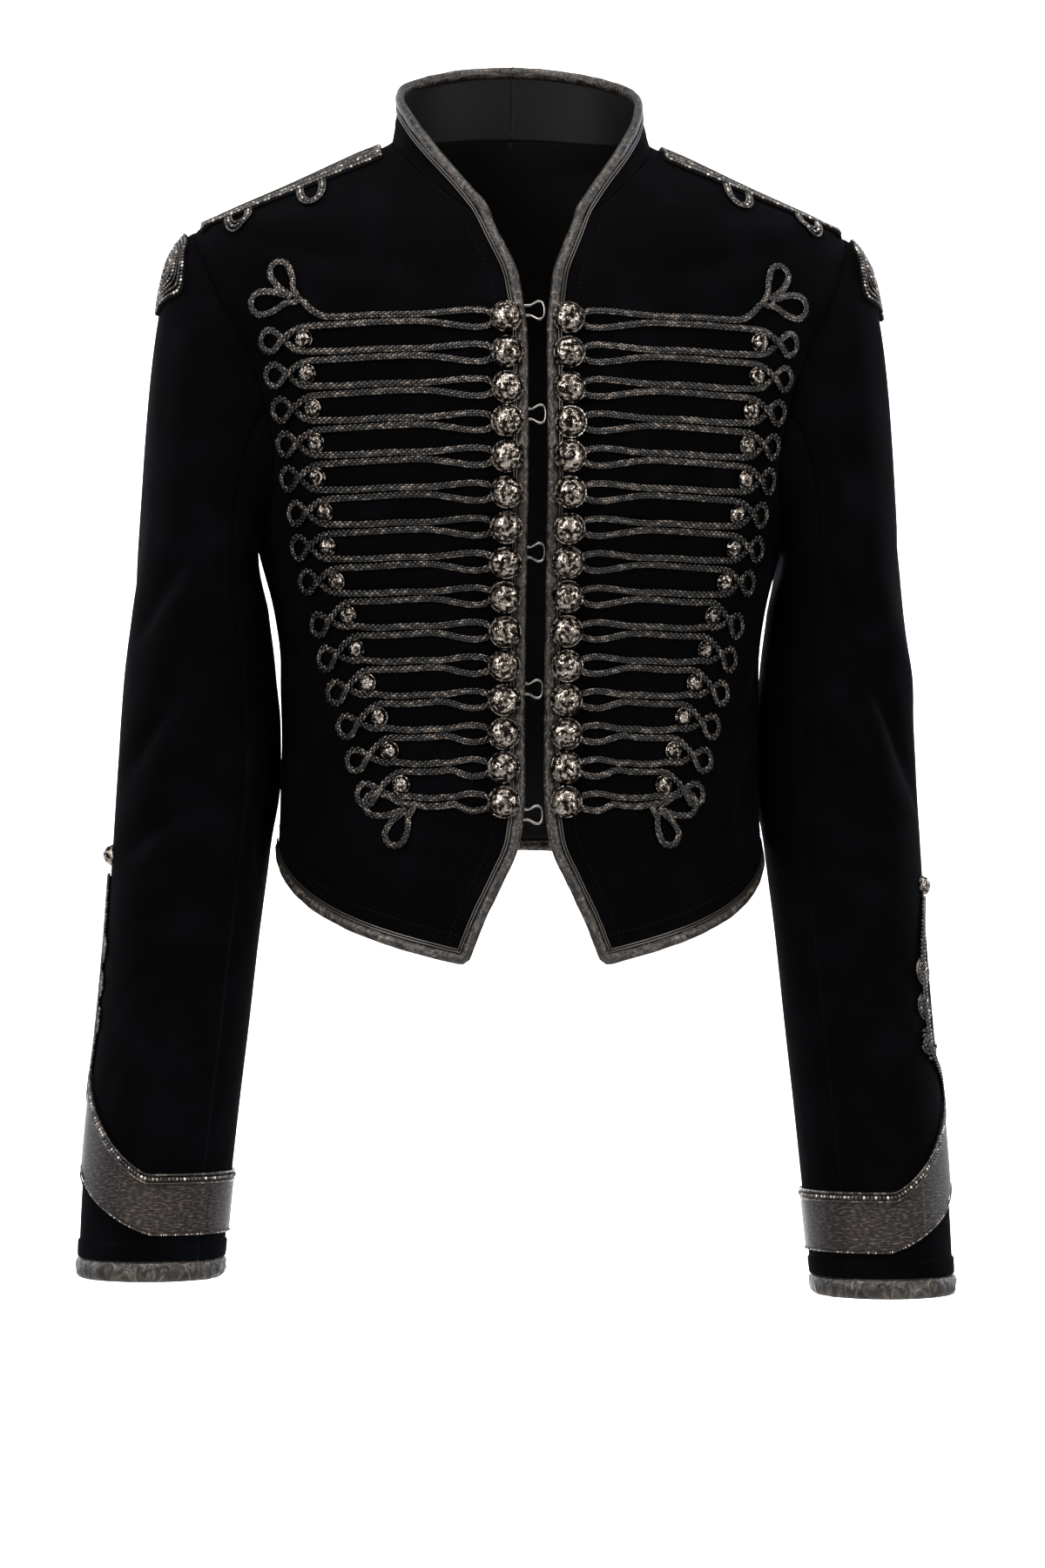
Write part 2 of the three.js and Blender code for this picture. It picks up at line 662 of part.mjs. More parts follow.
// The sleeve's first inner points, in line with the inside of the body's wall.
function armholeInside(arm, angle) {
  const edge = armhole(angle);
  const point = capStart(angle).addScaledVector(bodyNormal(edge.angle, edge.z), -WALL);
  point.x *= arm.side;
  return point;
}

// The rolled satin at a cuff's end, as a closed section carried round the sleeve.
function cuffTrim(arm) {
  const section = [
    { out: 0.4, down: 0 },
    { out: 1.5, down: 3 },
    { out: 1.3, down: 8 },
    { out: -0.4, down: CUFF_TRIM.height },
    { out: -2.4, down: 9 },
    { out: -2.6, down: 1.5 },
    { out: -1.6, down: 0 },
  ];
  const points = [];
  const faces = [];
  for (let c = 0; c < SLEEVE_COLUMNS; c += 1) {
    const angle = columnAngle(c, 2);
    for (const { out, down } of section) {
      const z = arm.end - CUFF_TRIM.gap - down;
      points.push(sleevePoint(arm, tubeS(arm, z), angle, out));
    }
  }
  const sides = section.length;
  for (let c = 0; c < SLEEVE_COLUMNS; c += 1) {
    const next = (c + 1) % SLEEVE_COLUMNS;
    for (let k = 0; k < sides; k += 1) {
      const side = (k + 1) % sides;
      faces.push([c * sides + k, c * sides + side, next * sides + side]);
      faces.push([c * sides + k, next * sides + side, next * sides + k]);
    }
  }
  return solid(points, faces);
}

// How far the cuff band's edge rises towards its point.
function rise(height, reach, degrees) {
  return height * Math.max(0, 1 - degrees / reach) ** 1.35;
}

function bandEdges(arm, angle) {
  const turn = Math.abs(((angle - arm.ornament.peak + 540) % 360) - 180);
  return {
    foot: arm.end + CUFF_BAND.foot + rise(CUFF_BAND.footRise, CUFF_BAND.footReach, turn),
    head: arm.end + CUFF_BAND.head + rise(CUFF_BAND.headRise, CUFF_BAND.headReach, turn),
  };
}

// The cuff's embroidered band with its raised borders.
function cuffBand(arm) {
  const rows = [
    { at: 0, out: 2 },
    { at: 0.14, out: 1.3 },
    { at: 0.8, out: 1.3 },
    { at: 1, out: 2.2 },
  ];
  const wall = new Wall();
  const grid = rows.map(({ at, out }) =>
    count(CUFF_BAND.columns + 1).map((c) => {
      const angle = columnAngle(0, 2) + (360 / CUFF_BAND.columns) * (c % CUFF_BAND.columns);
      const { foot, head } = bandEdges(arm, angle);
      const s = tubeS(arm, lerp(foot, head, at));
      return wall.point(sleevePoint(arm, s, angle, LIFT + out), sleevePoint(arm, s, angle, LIFT));
    }),
  );
  wall.addGrid(grid);
  return wall.close();
}

// Where the ornament's line lies on a sleeve at a height.
function ornamentAngle(arm, z) {
  const { button, rosette, peak } = arm.ornament;
  const line = [
    { z: arm.end + 100, angle: peak },
    { z: arm.end + 132, angle: rosette },
    { z: arm.end + 172, angle: rosette },
    { z: arm.end + 225, angle: button },
  ];
  return through(line, "z", "angle")(z);
}

function ornamentSpot(arm, z, out = LIFT) {
  return sleeveSpot(arm, tubeS(arm, z), ornamentAngle(arm, z), out);
}

function flatOn(shape, depth, { at, normal }) {
  const geometry = new THREE.ExtrudeGeometry(shape, { depth, bevelEnabled: false, curveSegments: 2 });
  const across = vec(0, 0, 1).cross(normal).normalize();
  const up = normal.clone().cross(across);
  geometry.applyMatrix4(new THREE.Matrix4().makeBasis(across, up, normal).setPosition(at));
  return geometry;
}

// A flower or star outline whose radius swings between two values.
function lobed(points, outer, inner) {
  const shape = new THREE.Shape();
  for (const i of count(points * 2)) {
    const radius = i % 2 ? inner : outer;
    const angle = (Math.PI * i) / points;
    const place = [radius * Math.sin(angle), radius * Math.cos(angle)];
    if (i === 0) shape.moveTo(...place);
    else shape.lineTo(...place);
  }
  shape.closePath();
  return shape;
}

// The cuff band with the rope above its point, two rosettes and a star.
function cuffBraid(arm) {
  const ropeTop = arm.end + 214;
  const ropeFoot = arm.end + 88;
  const rope = count(10).map((i) => ornamentSpot(arm, lerp(ropeTop, ropeFoot, i / 9), LIFT + 0.2));
  const pieces = [cuffBand(arm), sweep(framesAlong(rope), ropeSection(5, 2.4))];
  for (const height of [172, 152]) {
    pieces.push(flatOn(lobed(6, 7.2, 6), 3.2, ornamentSpot(arm, arm.end + height, LIFT + 0.2)));
  }
  pieces.push(flatOn(lobed(5, 8, 3.6), 3.4, ornamentSpot(arm, arm.end + 131, LIFT + 0.2)));
  return joined(pieces);
}

// The two mapped edges of the cloth that the trim follows, with the side that it lies on.
function trimPath(side) {
  const path = [];
  const add = (angle, z, innerAngle, innerZ) => {
    const at = bodyPoint(side * angle, z);
    const from = bodyPoint(side * innerAngle, innerZ);
    path.push({ at, outwards: at.clone().sub(from), normal: bodyNormal(side * angle, z) });
  };
  for (const i of count(PANEL_COLUMNS).reverse()) {
    const angle = lerp(180, 90, (PANEL_COLUMNS - 1 - i) / PANEL_COLUMNS);
    add(angle, SIDE_HEM_Z, angle, SIDE_HEM_Z + 5);
  }
  const tip = frontInner[0];
  for (const i of count(PANEL_COLUMNS + 1).reverse()) {
    const u = i / PANEL_COLUMNS;
    const angle = lerp(tip.angle, 90, u);
    const z = lerp(tip.z, SIDE_HEM_Z, u) - HEM_DIP * Math.sin(Math.PI * u);
    add(angle, z, angle, z + 5);
  }
  for (const { angle, z } of frontInner.slice(1, FRONT_EDGE.length)) add(angle, z, angle + 5, z);
  const columns = COLLAR.map((row) => collarColumn(row, side));
  columns.forEach(({ top, foot, rise: up, normal }, i) => {
    const before = columns[Math.max(i - 1, 0)];
    const after = columns[Math.min(i + 1, columns.length - 1)];
    const out = after.top.clone().sub(before.top).cross(up).normalize();
    if (out.dot(normal) < 0) out.negate();
    path.push({ at: top, outwards: i === 0 ? top.clone().sub(columns[1].foot) : top.clone().sub(foot), normal: out });
  });
  return path;
}

// The satin roll round the hem, fronts and collar of one half, its section lying off the cloth's edge.
const ROLL_GAP = 0.45;
const ROLL = [
  [ROLL_GAP, 0.3],
  [2.6, 1.5],
  [5.6, 0.7],
  [5.9, -2.4],
  [2.8, -3.5],
  [ROLL_GAP, -2.3],
];
const MITRE_LIMIT = 1.45;

function edgeTrim(side) {
  const path = trimPath(side);
  for (const end of [path[0], path[path.length - 1]]) {
    end.at.x = side * (SEAM / 2);
    end.normal.setX(0).normalize();
  }
  const frames = path.map(({ at, outwards, normal }, i) => {
    const into = at.clone().sub(path[Math.max(i - 1, 0)].at).normalize();
    const onwards = path[Math.min(i + 1, path.length - 1)].at.clone().sub(at).normalize();
    const tangent = into.clone().add(onwards).normalize();
    const across = tangent.clone().cross(normal).normalize();
    if (across.dot(outwards) < 0) across.negate();
    if (i === 0 || i === path.length - 1) across.setX(0).normalize();
    const edge = into.lengthSq() > 0 ? into : onwards;
    const cosine = Math.abs(edge.clone().cross(normal).normalize().dot(across));
    across.multiplyScalar(Math.min(MITRE_LIMIT, 1 / Math.max(cosine, 0.1)));
    return { at, across, up: normal };
  });
  return sweep(frames, ROLL);
}

// A place on a front by x and height, moved round the body by millimetres of arc.
function frontSpot(side, x, z, move = 0) {
  const start = angleAtX(x, z);
  const angle = start + move / arcPerDegree(start + move / 4, z);
  return { at: bodyPoint(side * angle, z, LIFT), normal: bodyNormal(side * angle, z) };
}

const rowZ = (row) => ROWS.first - ROWS.pitch * row;
const linkZ = (row) => rowZ(row) - ROWS.pitch / 2;

// A place by a crossing of cords: along and across a direction that turns from the side's outward way.
function crossingSpot(side, crossing, along, across) {
  const turn = rad(crossing.turn);
  return frontSpot(
    side,
    crossing.x,
    crossing.z + along * Math.sin(turn) + across * Math.cos(turn),
    along * Math.cos(turn) - across * Math.sin(turn),
  );
}

// Half a ball on the strand that passes a crossing: the section swells away from the middle line.
const BALL_SECTION = [
  [-BALL.radius, 0],
  [-BALL.radius * 0.3, BALL.height],
  [-CORD.clear, 0],
];

// Points past a crossing, round a loop and back, with a half ball on each strand where there is a button.
function loopPath(side, crossing, hasBall) {
  const { reach, half } = crossing.loop;
  const middle = CORD.clear + CORD.width / 2;
  const strand = (way) =>
    [-4.8, -1.8, 1.8, 4.8].map((along) => ({
      ...crossingSpot(side, crossing, way * along, hasBall && Math.abs(along) < 2 ? 0 : way * middle),
      section: hasBall && Math.abs(along) < 2 ? BALL_SECTION : CORD_SECTION,
    }));
  const round = [
    [0.48, 0.86],
    [0.84, 0.92],
    [1, 0],
    [0.84, -0.92],
    [0.48, -0.86],
  ].map(([along, across]) => crossingSpot(side, crossing, along * reach, across * half));
  return [...strand(1), ...round, ...strand(-1)];
}

// One row of the frogging: in along its upper strand, round the end by the button, and out along the lower one.
function rowPath(side, row) {
  const upper = row === 0 ? ROW_TOP : { x: LINKS[row - 1], z: linkZ(row - 1) };
  const lower = row === ROWS.count - 1 ? ROW_FOOT : { x: LINKS[row], z: linkZ(row) };
  const z = rowZ(row);
  const strand = (link, way) => {
    const offset = (way * CORD.spacing) / 2;
    return [
      frontSpot(side, link.x - 11, lerp(link.z, z + offset, 0.7)),
      ...[0, 0.34, 0.68].map((t) => {
        const arch = ROWS.arch * Math.sin(Math.PI * t);
        return frontSpot(side, lerp(link.x - 20, ROWS.flareX + 6, t), z + offset + arch);
      }),
      frontSpot(side, ROWS.flareX, z + (way * ROWS.flare) / 2),
    ];
  };
  const end = [1, -1].map((way) => frontSpot(side, ROWS.loopX, z + way * 2.6));
  return [...strand(upper, 1), ...end, ...strand(lower, -1).reverse()];
}

// One side's frogging: a single cord through all its rows and links, with a ball at each link.
function frogging(side) {
  const crossing = (place, turn, loop) => ({ ...place, turn, loop });
  const spots = loopPath(side, crossing(ROW_TOP, 62, END_LOOP), false).slice(1, -2);
  spots.push(...loopPath(side, crossing(ROW_TOP, -6, LINK_LOOP), false).slice(2));
  for (const row of count(ROWS.count)) {
    spots.push(...rowPath(side, row));
    if (row < LINKS.length) {
      const link = { x: LINKS[row], z: linkZ(row) };
      spots.push(...loopPath(side, crossing(link, row > 7 ? -14 : 0, LINK_LOOP), true));
    }
  }
  spots.push(...loopPath(side, crossing(ROW_FOOT, 6, LINK_LOOP), false).slice(0, -2));
  spots.push(...loopPath(side, crossing(ROW_FOOT, -62, END_LOOP), false).slice(2, -1));
  const frames = framesAlong(spots).map((frame, i) => ({
    ...frame,
    across: frame.across.multiplyScalar(-side),
    section: spots[i].section,
  }));
  return sweep(frames, CORD_SECTION);
}

// A domed button with a rim, standing on the cords.
function dome({ radius, height }, { at, normal }, lift, segments) {
  const profile = [
    [0, 0],
    [radius, 0],
    [radius * 0.8, height * 0.66],
    [0, height],
  ];
  return turnedOn(profile, segments, at.clone().addScaledVector(normal, lift), normal);
}

// A place on the shoulder by x and y, found by the height at which the body's section passes through it.
function shoulderSpot(side, x, y, out = LIFT) {
  const depth = y < 0 ? bodyFront : bodyBack;
  let [inside, outside] = [-90, 8];
  for (let i = 0; i < 40; i += 1) {
    const z = (inside + outside) / 2;
    if ((x / bodyHalf(z)) ** 2 + (y / depth(z)) ** 2 < 1) inside = z;
    else outside = z;
  }
  const angle = side * THREE.MathUtils.radToDeg(Math.atan2(x / bodyHalf(inside), -y / depth(inside)));
  return { at: bodyPoint(angle, inside, out), normal: bodyNormal(angle, inside) };
}

// The shoulder board with two rope loops before and two behind, each growing out of the board's border.
function shoulderBoard(side) {
  const half = through(BOARD, "x", "half");
  const { rope, steps } = BOARD_LOOP_ROPE;
  const loopEdges = BOARD_LOOPS.flatMap(({ x, half: w }) => [x - w, x - w + rope, x + w - rope, x + w]);
  const ends = [BOARD[0].x, BOARD[BOARD.length - 1].x];
  const rows = [...ends, ...BOARD_STOPS, ...loopEdges].sort((p, q) => p - q);
  const wall = new Wall();
  const point = (x, y, out) =>
    wall.point(shoulderSpot(side, x, y, LIFT + out).at, shoulderSpot(side, x, y).at);
  const grid = rows.map((x) =>
    [-1, -0.82, -0.42, 0, 0.42, 0.82, 1].map((share) => {
      const border = Math.abs(share) > 0.8 || ends.includes(x);
      return point(x, share * half(x), border ? BOARD_LIFT.border : BOARD_LIFT.field);
    }),
  );
  wall.addGrid(grid);
  for (const { x, reach, half: width } of BOARD_LOOPS) {
    for (const way of [-1, 1]) {
      const strip = count(steps + 1).map((i) => {
        const turn = (Math.PI * i) / steps;
        const place = (shrink) => {
          const along = (reach - shrink) * Math.sin(turn) ** 0.75;
          const across = -(width - shrink) * Math.cos(turn) * (1 + 0.12 * Math.sin(turn));
          const isEnd = i === 0 || i === steps;
          const y = isEnd ? half(x + across) : half(x + across) + along;
          return point(x + across, way * y, isEnd ? BOARD_LIFT.border : BOARD_LIFT.loops);
        };
        return way < 0 ? [place(0), place(rope)] : [place(rope), place(0)];
      });
      wall.addGrid(strip);
    }
  }
  return wall.close();
}

// Distances down a sleeve's head from the armhole, for placing the leaf.
function headS(arm, distance, angle) {
  let travelled = 0;
  let s = 0.01;
  let before = sleeveBase(arm, s, angle);
  while (travelled < distance) {
    s += 0.005;
    const now = sleeveBase(arm, s, angle);
    travelled += now.distanceTo(before);
    before = now;
  }
  return s;
}

function sleeveLeaf(arm) {
  const across = [-1, -0.7, -0.35, 0, 0.35, 0.7, 1];
  const wall = new Wall();
  const rows = LEAF.map(({ along, half }) => {
    const s = headS(arm, along, LEAF_ANGLE);
    const perDegree = sleeveBase(arm, s, LEAF_ANGLE + 0.5).distanceTo(sleeveBase(arm, s, LEAF_ANGLE - 0.5));
    return across.map((share) => {
      const angle = LEAF_ANGLE + (share * half) / perDegree;
      const out = LIFT + 2 + 1.4 * (1 - Math.abs(share));
      return wall.point(sleevePoint(arm, s, angle, out), sleevePoint(arm, s, angle, LIFT));
    });
  });
  wall.addGrid(rows);
  return wall.close();
}

// A bent wire hook behind the fronts' edges, seen in the gap between them.
function hook(z) {
  const path = [
    [-10, -5.25, 2.4],
    [-3, -4.8, 3],
    [1.6, -3.2, 5],
    [4.4, -2.8, 1.8],
    [4.4, -2.8, -1.8],
    [1.6, -3.2, -5],
    [-3, -4.8, -3],
    [-10, -5.25, -2.4],
  ];
  const spots = path.map(([x, out, up]) => ({
    at: vec(x, bodyBase(0, z + up).y - out, z + up),
    normal: vec(0, -1, 0),
  }));
  const radius = 0.75;
  const section = count(4).map((i) => [radius * Math.cos(rad(90 * i)), radius * Math.sin(rad(90 * i))]);
  return sweep(framesAlong(spots), section);
}

const finish = (color, roughness, metalness) =>
  new THREE.MeshStandardMaterial({ color, roughness, metalness });
const velvet = finish("#0c0f18", 0.95, 0);
const satin = finish("#5c554e", 0.45, 0.1);
const beads = finish("#4b4643", 0.35, 0.6);
const thread = finish("#6a5f55", 0.5, 0.4);
const pewter = finish("#8a8078", 0.3, 0.9);
const wire = finish("#9a9a9a", 0.35, 1);

const jacket = new THREE.Group();
function add(name, geometry, material) {
  const mesh = new THREE.Mesh(geometry, material);
  mesh.name = name;
  jacket.add(mesh);
}

add("back", backPanel(), velvet);
add("collar", collar(), velvet);
for (const arm of ARMS) {
  const { name, side } = arm;
  add(`front_${name}`, frontPanel(side), velvet);
  add(`top_sleeve_${name}`, sleevePiece(arm, 0, FORE_SEAM_COLUMN), velvet);
  add(`under_sleeve_${name}`, sleevePiece(arm, FORE_SEAM_COLUMN, SLEEVE_COLUMNS), velvet);
  add(`cuff_trim_${name}`, cuffTrim(arm), satin);
  add(`cuff_braid_${name}`, cuffBraid(arm), thread);
  add(`edge_trim_${name}`, edgeTrim(side), satin);
  add(`frogging_${name}`, frogging(side), beads);
  add(`shoulder_board_${name}`, shoulderBoard(side), beads);
  add(`sleeve_leaf_${name}`, sleeveLeaf(arm), beads);
  for (const row of count(ROWS.count)) {
    const number = String(row + 1).padStart(2, "0");
    const spot = frontSpot(side, BUTTON.x, rowZ(row));
    add(`button_${name}_${number}`, dome(BUTTON, spot, BUTTON.lift, 10), pewter);
  }
  const spot = ornamentSpot(arm, arm.end + SLEEVE_BUTTON.drop[name]);
  add(`sleeve_button_${name}`, dome(SLEEVE_BUTTON, spot, 0, 10), pewter);
}
HOOKS.forEach((z, i) => add(`hook_${i + 1}`, hook(z), wire));

export default jacket;
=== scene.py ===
"""Dresses the velvet jacket: cloth shells, bead cords, buttons, satin rolls, light and camera.

Shapes are worked out in millimetres from the same tables as the solids. They become metres when a mesh
is made.
"""
import math

import bmesh
import bpy
import numpy as np
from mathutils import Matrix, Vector


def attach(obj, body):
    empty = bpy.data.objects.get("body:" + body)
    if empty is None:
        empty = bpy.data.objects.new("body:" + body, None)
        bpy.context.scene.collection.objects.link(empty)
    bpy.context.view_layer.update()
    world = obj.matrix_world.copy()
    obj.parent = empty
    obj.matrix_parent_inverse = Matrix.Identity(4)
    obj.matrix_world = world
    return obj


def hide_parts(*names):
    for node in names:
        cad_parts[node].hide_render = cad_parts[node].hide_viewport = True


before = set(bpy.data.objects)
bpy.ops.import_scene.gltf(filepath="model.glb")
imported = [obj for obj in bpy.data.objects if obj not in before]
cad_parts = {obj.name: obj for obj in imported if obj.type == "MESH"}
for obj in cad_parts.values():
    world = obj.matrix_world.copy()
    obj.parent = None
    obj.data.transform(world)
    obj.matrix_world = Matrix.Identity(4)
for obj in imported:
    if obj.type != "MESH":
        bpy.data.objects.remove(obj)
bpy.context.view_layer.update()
MM = 0.001
rng = np.random.default_rng(11)
SIDES = {"left": 1, "right": -1}

# The solids' tables, with the same columns as in the part's source
BODY = np.array([  # z, half, front, back
    (12, 65, 24, 61), (0, 73.5, 30, 68), (-10, 95, 44, 74), (-28, 133, 64, 81), (-46, 173, 79, 88),
    (-53, 186, 84, 90), (-70, 193, 94, 95), (-90, 194, 103, 98), (-120, 185, 111, 102), (-142, 177, 114, 102),
    (-190, 160, 117, 100), (-235, 150, 109, 95), (-270, 141, 102, 90), (-300, 137, 98, 85),
    (-345, 135.5, 94, 82), (-411, 139, 97, 90), (-480, 141, 101, 96),
])
FRONT_EDGE = np.array([  # x, z
    (41.3, -462), (33, -441), (23, -420), (14, -398), (11.3, -370), (11.3, -336), (11.3, -302), (11.3, -268),
    (11.3, -235), (11.3, -195), (11.3, -155), (11.3, -120), (14.8, -88),
])
COLLAR = np.array([  # angle, z, top x, top y, top z
    (9.2, -50, 29, -82.5, -49), (20, -34, 43, -63.5, -29), (35, -18.5, 55, -47.5, -12.5),
    (58, -6.3, 65, -27.5, 4.5), (90, 0, 70, 2, 20.5), (110, 2, 67, 22, 29), (130, 5, 56, 40, 36),
    (148, 7.5, 39, 52, 41.5), (165, 9.5, 19, 58, 45), (180, 10, 0, 60, 46),
])
SIDE_NECK_ROW = 4
COLLAR_GAP = 0.6
SIDE_HEM_Z = -401
HEM_DIP = 6.4
ARMHOLE = {"middle_z": -144, "half_height": 91, "half_angle": 31, "steps": 9, "gap": -0.5}
SIDE_SEAM_STEPS = 8
SLEEVE = np.array([  # z, inner, outer, middle, depth
    (-270, 144, 222, 4, 59), (-307, 139.8, 226.5, 5, 56.5), (-357, 138.6, 230, 7, 53),
    (-397, 142, 232.5, 8, 50), (-455, 149, 236, 4, 47.5), (-510, 154.5, 240, -4, 45.5),
    (-546, 158.3, 243.5, -10, 44), (-600, 163.5, 247, -19, 42.5), (-662, 169, 249, -29, 40.5),
])
SLEEVE_TOP_Z = -270
ARMS = {
    "left": {"side": 1, "end": -647, "lean": -2.5, "button": 20, "rosette": 36, "peak": 7, "drop": 221},
    "right": {"side": -1, "end": -634, "lean": 4, "button": 4, "rosette": 6, "peak": 4, "drop": 226},
}
SLEEVE_COLUMNS = 18
HIND_SEAM = (-40, -12)
FORE_SEAM_COLUMN = 7
CORD_WIDTH, CORD_CLEAR, CORD_SPACING = 4, 0.25, 4.15
ROWS = {"first": -110.5, "pitch": 19.08, "count": 15, "loop_x": 25, "flare_x": 35, "flare": 9.6, "arch": 0.8}
LINKS = [127, 125, 122, 120, 119, 114.5, 113, 108, 101.5, 97, 91, 84.5, 79, 73]
LINK_LOOP = {"reach": 26.5, "half": 6.4}
END_LOOP = {"reach": 23, "half": 6}
ROW_TOP, ROW_FOOT = (133, -97), (69, -381)
BUTTON = {"x": 17, "radius": 9.3, "height": 7.4, "lift": 3.4}
BOARD = np.array([(80, 29), (92, 31), (130, 31), (150, 29.5), (168, 27), (182, 21)])  # x, half
BOARD_LOOPS = [(121, 21, 8.6), (162, 15.5, 8)]  # x, reach, half
LEAF = np.array([(4, 9), (13, 21), (22, 25.5), (33, 19), (43, 9), (52, 1.2)])  # along, half
LEAF_ANGLE = 12
HOOKS = [-105, -163, -239, -314.5, -384.5]
LIFT = 0.65

BODY_DEGREE, SLEEVE_DEGREE = 2.1, 0.8  # millimetres in a degree, near enough for folds
# Folds of the body: from and to by angle and height, with width and depth; the creases are the scene's own
BODY_FOLDS = np.array([
    (48, -66, 12, -92, 15, -2.2), (46, -92, 22, -108, 12, -1.4), (-48, -62, -12, -90, 15, -2.2),
    (-50, -90, -26, -103, 12, -1.4), (76, -350, 58, -396, 15, -2.4), (82, -300, 66, -338, 14, -1.6),
    (-80, -330, -64, -372, 15, -2), (-82, -268, -70, -300, 13, -1.6), (118, -110, 150, -140, 17, -2.4),
    (-120, -120, -150, -156, 17, -2.2), (112, -286, 158, -312, 15, -2.4), (-108, -300, -150, -322, 15, -2.6),
    (120, -330, 165, -344, 14, -2), (-125, -345, -168, -352, 14, -1.8),
])
BODY_CREASES = np.array([
    (58, -60, 30, -76, 7, -1.1), (-60, -58, -34, -74, 7, -1.0), (70, -372, 56, -404, 7, -1.2),
    (64, -330, 52, -366, 8, -0.8), (-72, -352, -56, -388, 7, -1.1), (-66, -300, -58, -340, 8, -0.8),
    (84, -252, 74, -286, 7, -0.9), (-84, -246, -74, -276, 7, -0.9), (62, -128, 70, -190, 9, -0.9),
    (-60, -130, -70, -186, 9, -0.9), (46, -400, 28, -428, 9, -0.8), (-44, -396, -28, -426, 9, -0.8),
    (128, -96, 158, -112, 8, -1.1), (-126, -98, -160, -118, 8, -1.0), (104, -190, 122, -236, 8, -1.1),
    (-102, -186, -120, -240, 8, -1.1), (122, -300, 168, -326, 7, -1.2), (-114, -312, -172, -330, 7, -1.3),
    (86, -300, 88, -380, 22, 1.6), (-86, -300, -88, -380, 22, 1.6), (118, -352, 162, -362, 7, -0.9),
    (-118, -362, -158, -370, 7, -0.9), (176, -60, 186, -150, 11, -0.8),
])
# Folds of the sleeves: arm (1 left, -1 right, 0 both), height, angle, to height, to angle, width, depth
SLEEVE_FOLDS = np.array([
    (1, -262, 96, -366, 30, 15, -4.2), (1, -250, 62, -318, 20, 16, 2.2), (1, -330, 118, -396, 70, 15, -2.6),
    (1, -398, 140, -420, 62, 15, -2.6), (1, -528, 104, -582, 62, 13, -2.2),
    (-1, -236, 74, -284, 24, 15, -3.4), (-1, -312, 72, -362, 26, 15, -3.4),
    (-1, -372, 98, -406, 26, 14, -3.8), (-1, -340, 160, -416, 148, 14, -2),
    (-1, -540, 40, -566, 10, 13, -1.8), (0, -196, 118, -232, 84, 15, -2.6),
    (0, -180, 286, -236, 322, 17, -2.8), (0, -300, 250, -352, 312, 16, -3),
    (0, -392, 236, -410, 318, 15, -3.2), (0, -440, 242, -452, 300, 14, -2.2),
])
SLEEVE_CREASES = np.array([
    (1, -268, 92, -372, 26, 6, -2.2), (1, -296, 108, -350, 66, 6, -1.2), (1, -404, 132, -424, 70, 6, -1.4),
    (1, -350, 100, -384, 52, 6, -1.0), (1, -534, 100, -578, 66, 6, -1.3), (1, -556, 118, -596, 84, 5, -0.9),
    (-1, -240, 70, -280, 28, 6, -1.6), (-1, -318, 68, -358, 30, 6, -1.7), (-1, -376, 94, -404, 32, 6, -1.9),
    (-1, -346, 158, -412, 149, 6, -1.1), (-1, -532, 44, -562, 12, 6, -1.2),
    (-1, -430, 110, -446, 50, 6, -0.9), (0, -160, 112, -206, 92, 7, -1.3), (0, -206, 128, -262, 96, 7, -1.2),
    (0, -190, 292, -240, 326, 7, -1.3), (0, -308, 254, -348, 306, 6, -1.5),
    (0, -396, 240, -412, 312, 6, -1.7), (0, -420, 226, -434, 300, 6, -1.2),
    (0, -362, 262, -384, 318, 6, -1.2), (0, -470, 70, -500, 30, 8, -0.7), (0, -484, 250, -508, 296, 7, -0.9),
    (0, -560, 236, -580, 286, 7, -1.0), (0, -226, 20, -262, -8, 9, -0.8), (0, -318, 180, -388, 182, 20, 2.0),
])


def smooth(value, low, high):
    t = np.clip((np.asarray(value, float) - low) / (high - low), 0, 1)
    return t * t * (3 - 2 * t)


def lerp(a, b, t):
    return a + (b - a) * t


def unit(v):
    return v / np.maximum(np.linalg.norm(v, axis=-1, keepdims=True), 1e-12)


def xyz(x, y, z):
    return np.stack(np.broadcast_arrays(x, y, z), axis=-1).astype(float)


def through(xs, ys):
    """A smooth curve through the pairs that never overshoots them."""
    order = np.argsort(xs)
    xs, ys = np.asarray(xs, float)[order], np.asarray(ys, float)[order]
    slope = np.diff(ys) / np.diff(xs)
    tangent = np.empty_like(ys)
    tangent[0], tangent[-1] = slope[0], slope[-1]
    product, total = slope[:-1] * slope[1:], slope[:-1] + slope[1:]
    tangent[1:-1] = np.where(product > 0, 2 * product / np.where(product > 0, total, 1), 0)

    def curve(value):
        value = np.asarray(value, float)
        i = np.clip(np.searchsorted(xs, value, side="left") - 1, 0, len(xs) - 2)
        gap = xs[i + 1] - xs[i]
        t = (value - xs[i]) / gap
        bend = t * t * (3 - 2 * t)
        return (ys[i] * (1 - bend) + ys[i + 1] * bend
                + gap * t * (1 - t) * ((1 - t) * tangent[i] - t * tangent[i + 1]))

    return curve


def fold_sum(u, v, folds, scale):
    """How far folds move the cloth; a row is u, v, to u, to v, width and depth, and scale is one u in mm."""
    total = 0
    for u0, v0, u1, v1, width, depth in folds:
        du, dv = (u1 - u0) * scale, v1 - v0
        length = math.hypot(du, dv)
        pu, pv = (u - u0) * scale, v - v0
        along = (pu * du + pv * dv) / length ** 2
        across = (pu * dv - pv * du) / length
        ends = smooth(along, -0.25, 0.25) * (1 - smooth(along, 0.75, 1.25))
        total = total + depth * ends * np.exp(-2 * (across / width) ** 2)
    return total


def normal_of(surface, u, v, step_u, step_v):
    along_u = surface(u + step_u, v) - surface(u - step_u, v)
    along_v = surface(u, v + step_v) - surface(u, v - step_v)
    return unit(np.cross(along_u, along_v))


body_half, body_front, body_back = (through(BODY[:, 0], BODY[:, k]) for k in (1, 2, 3))


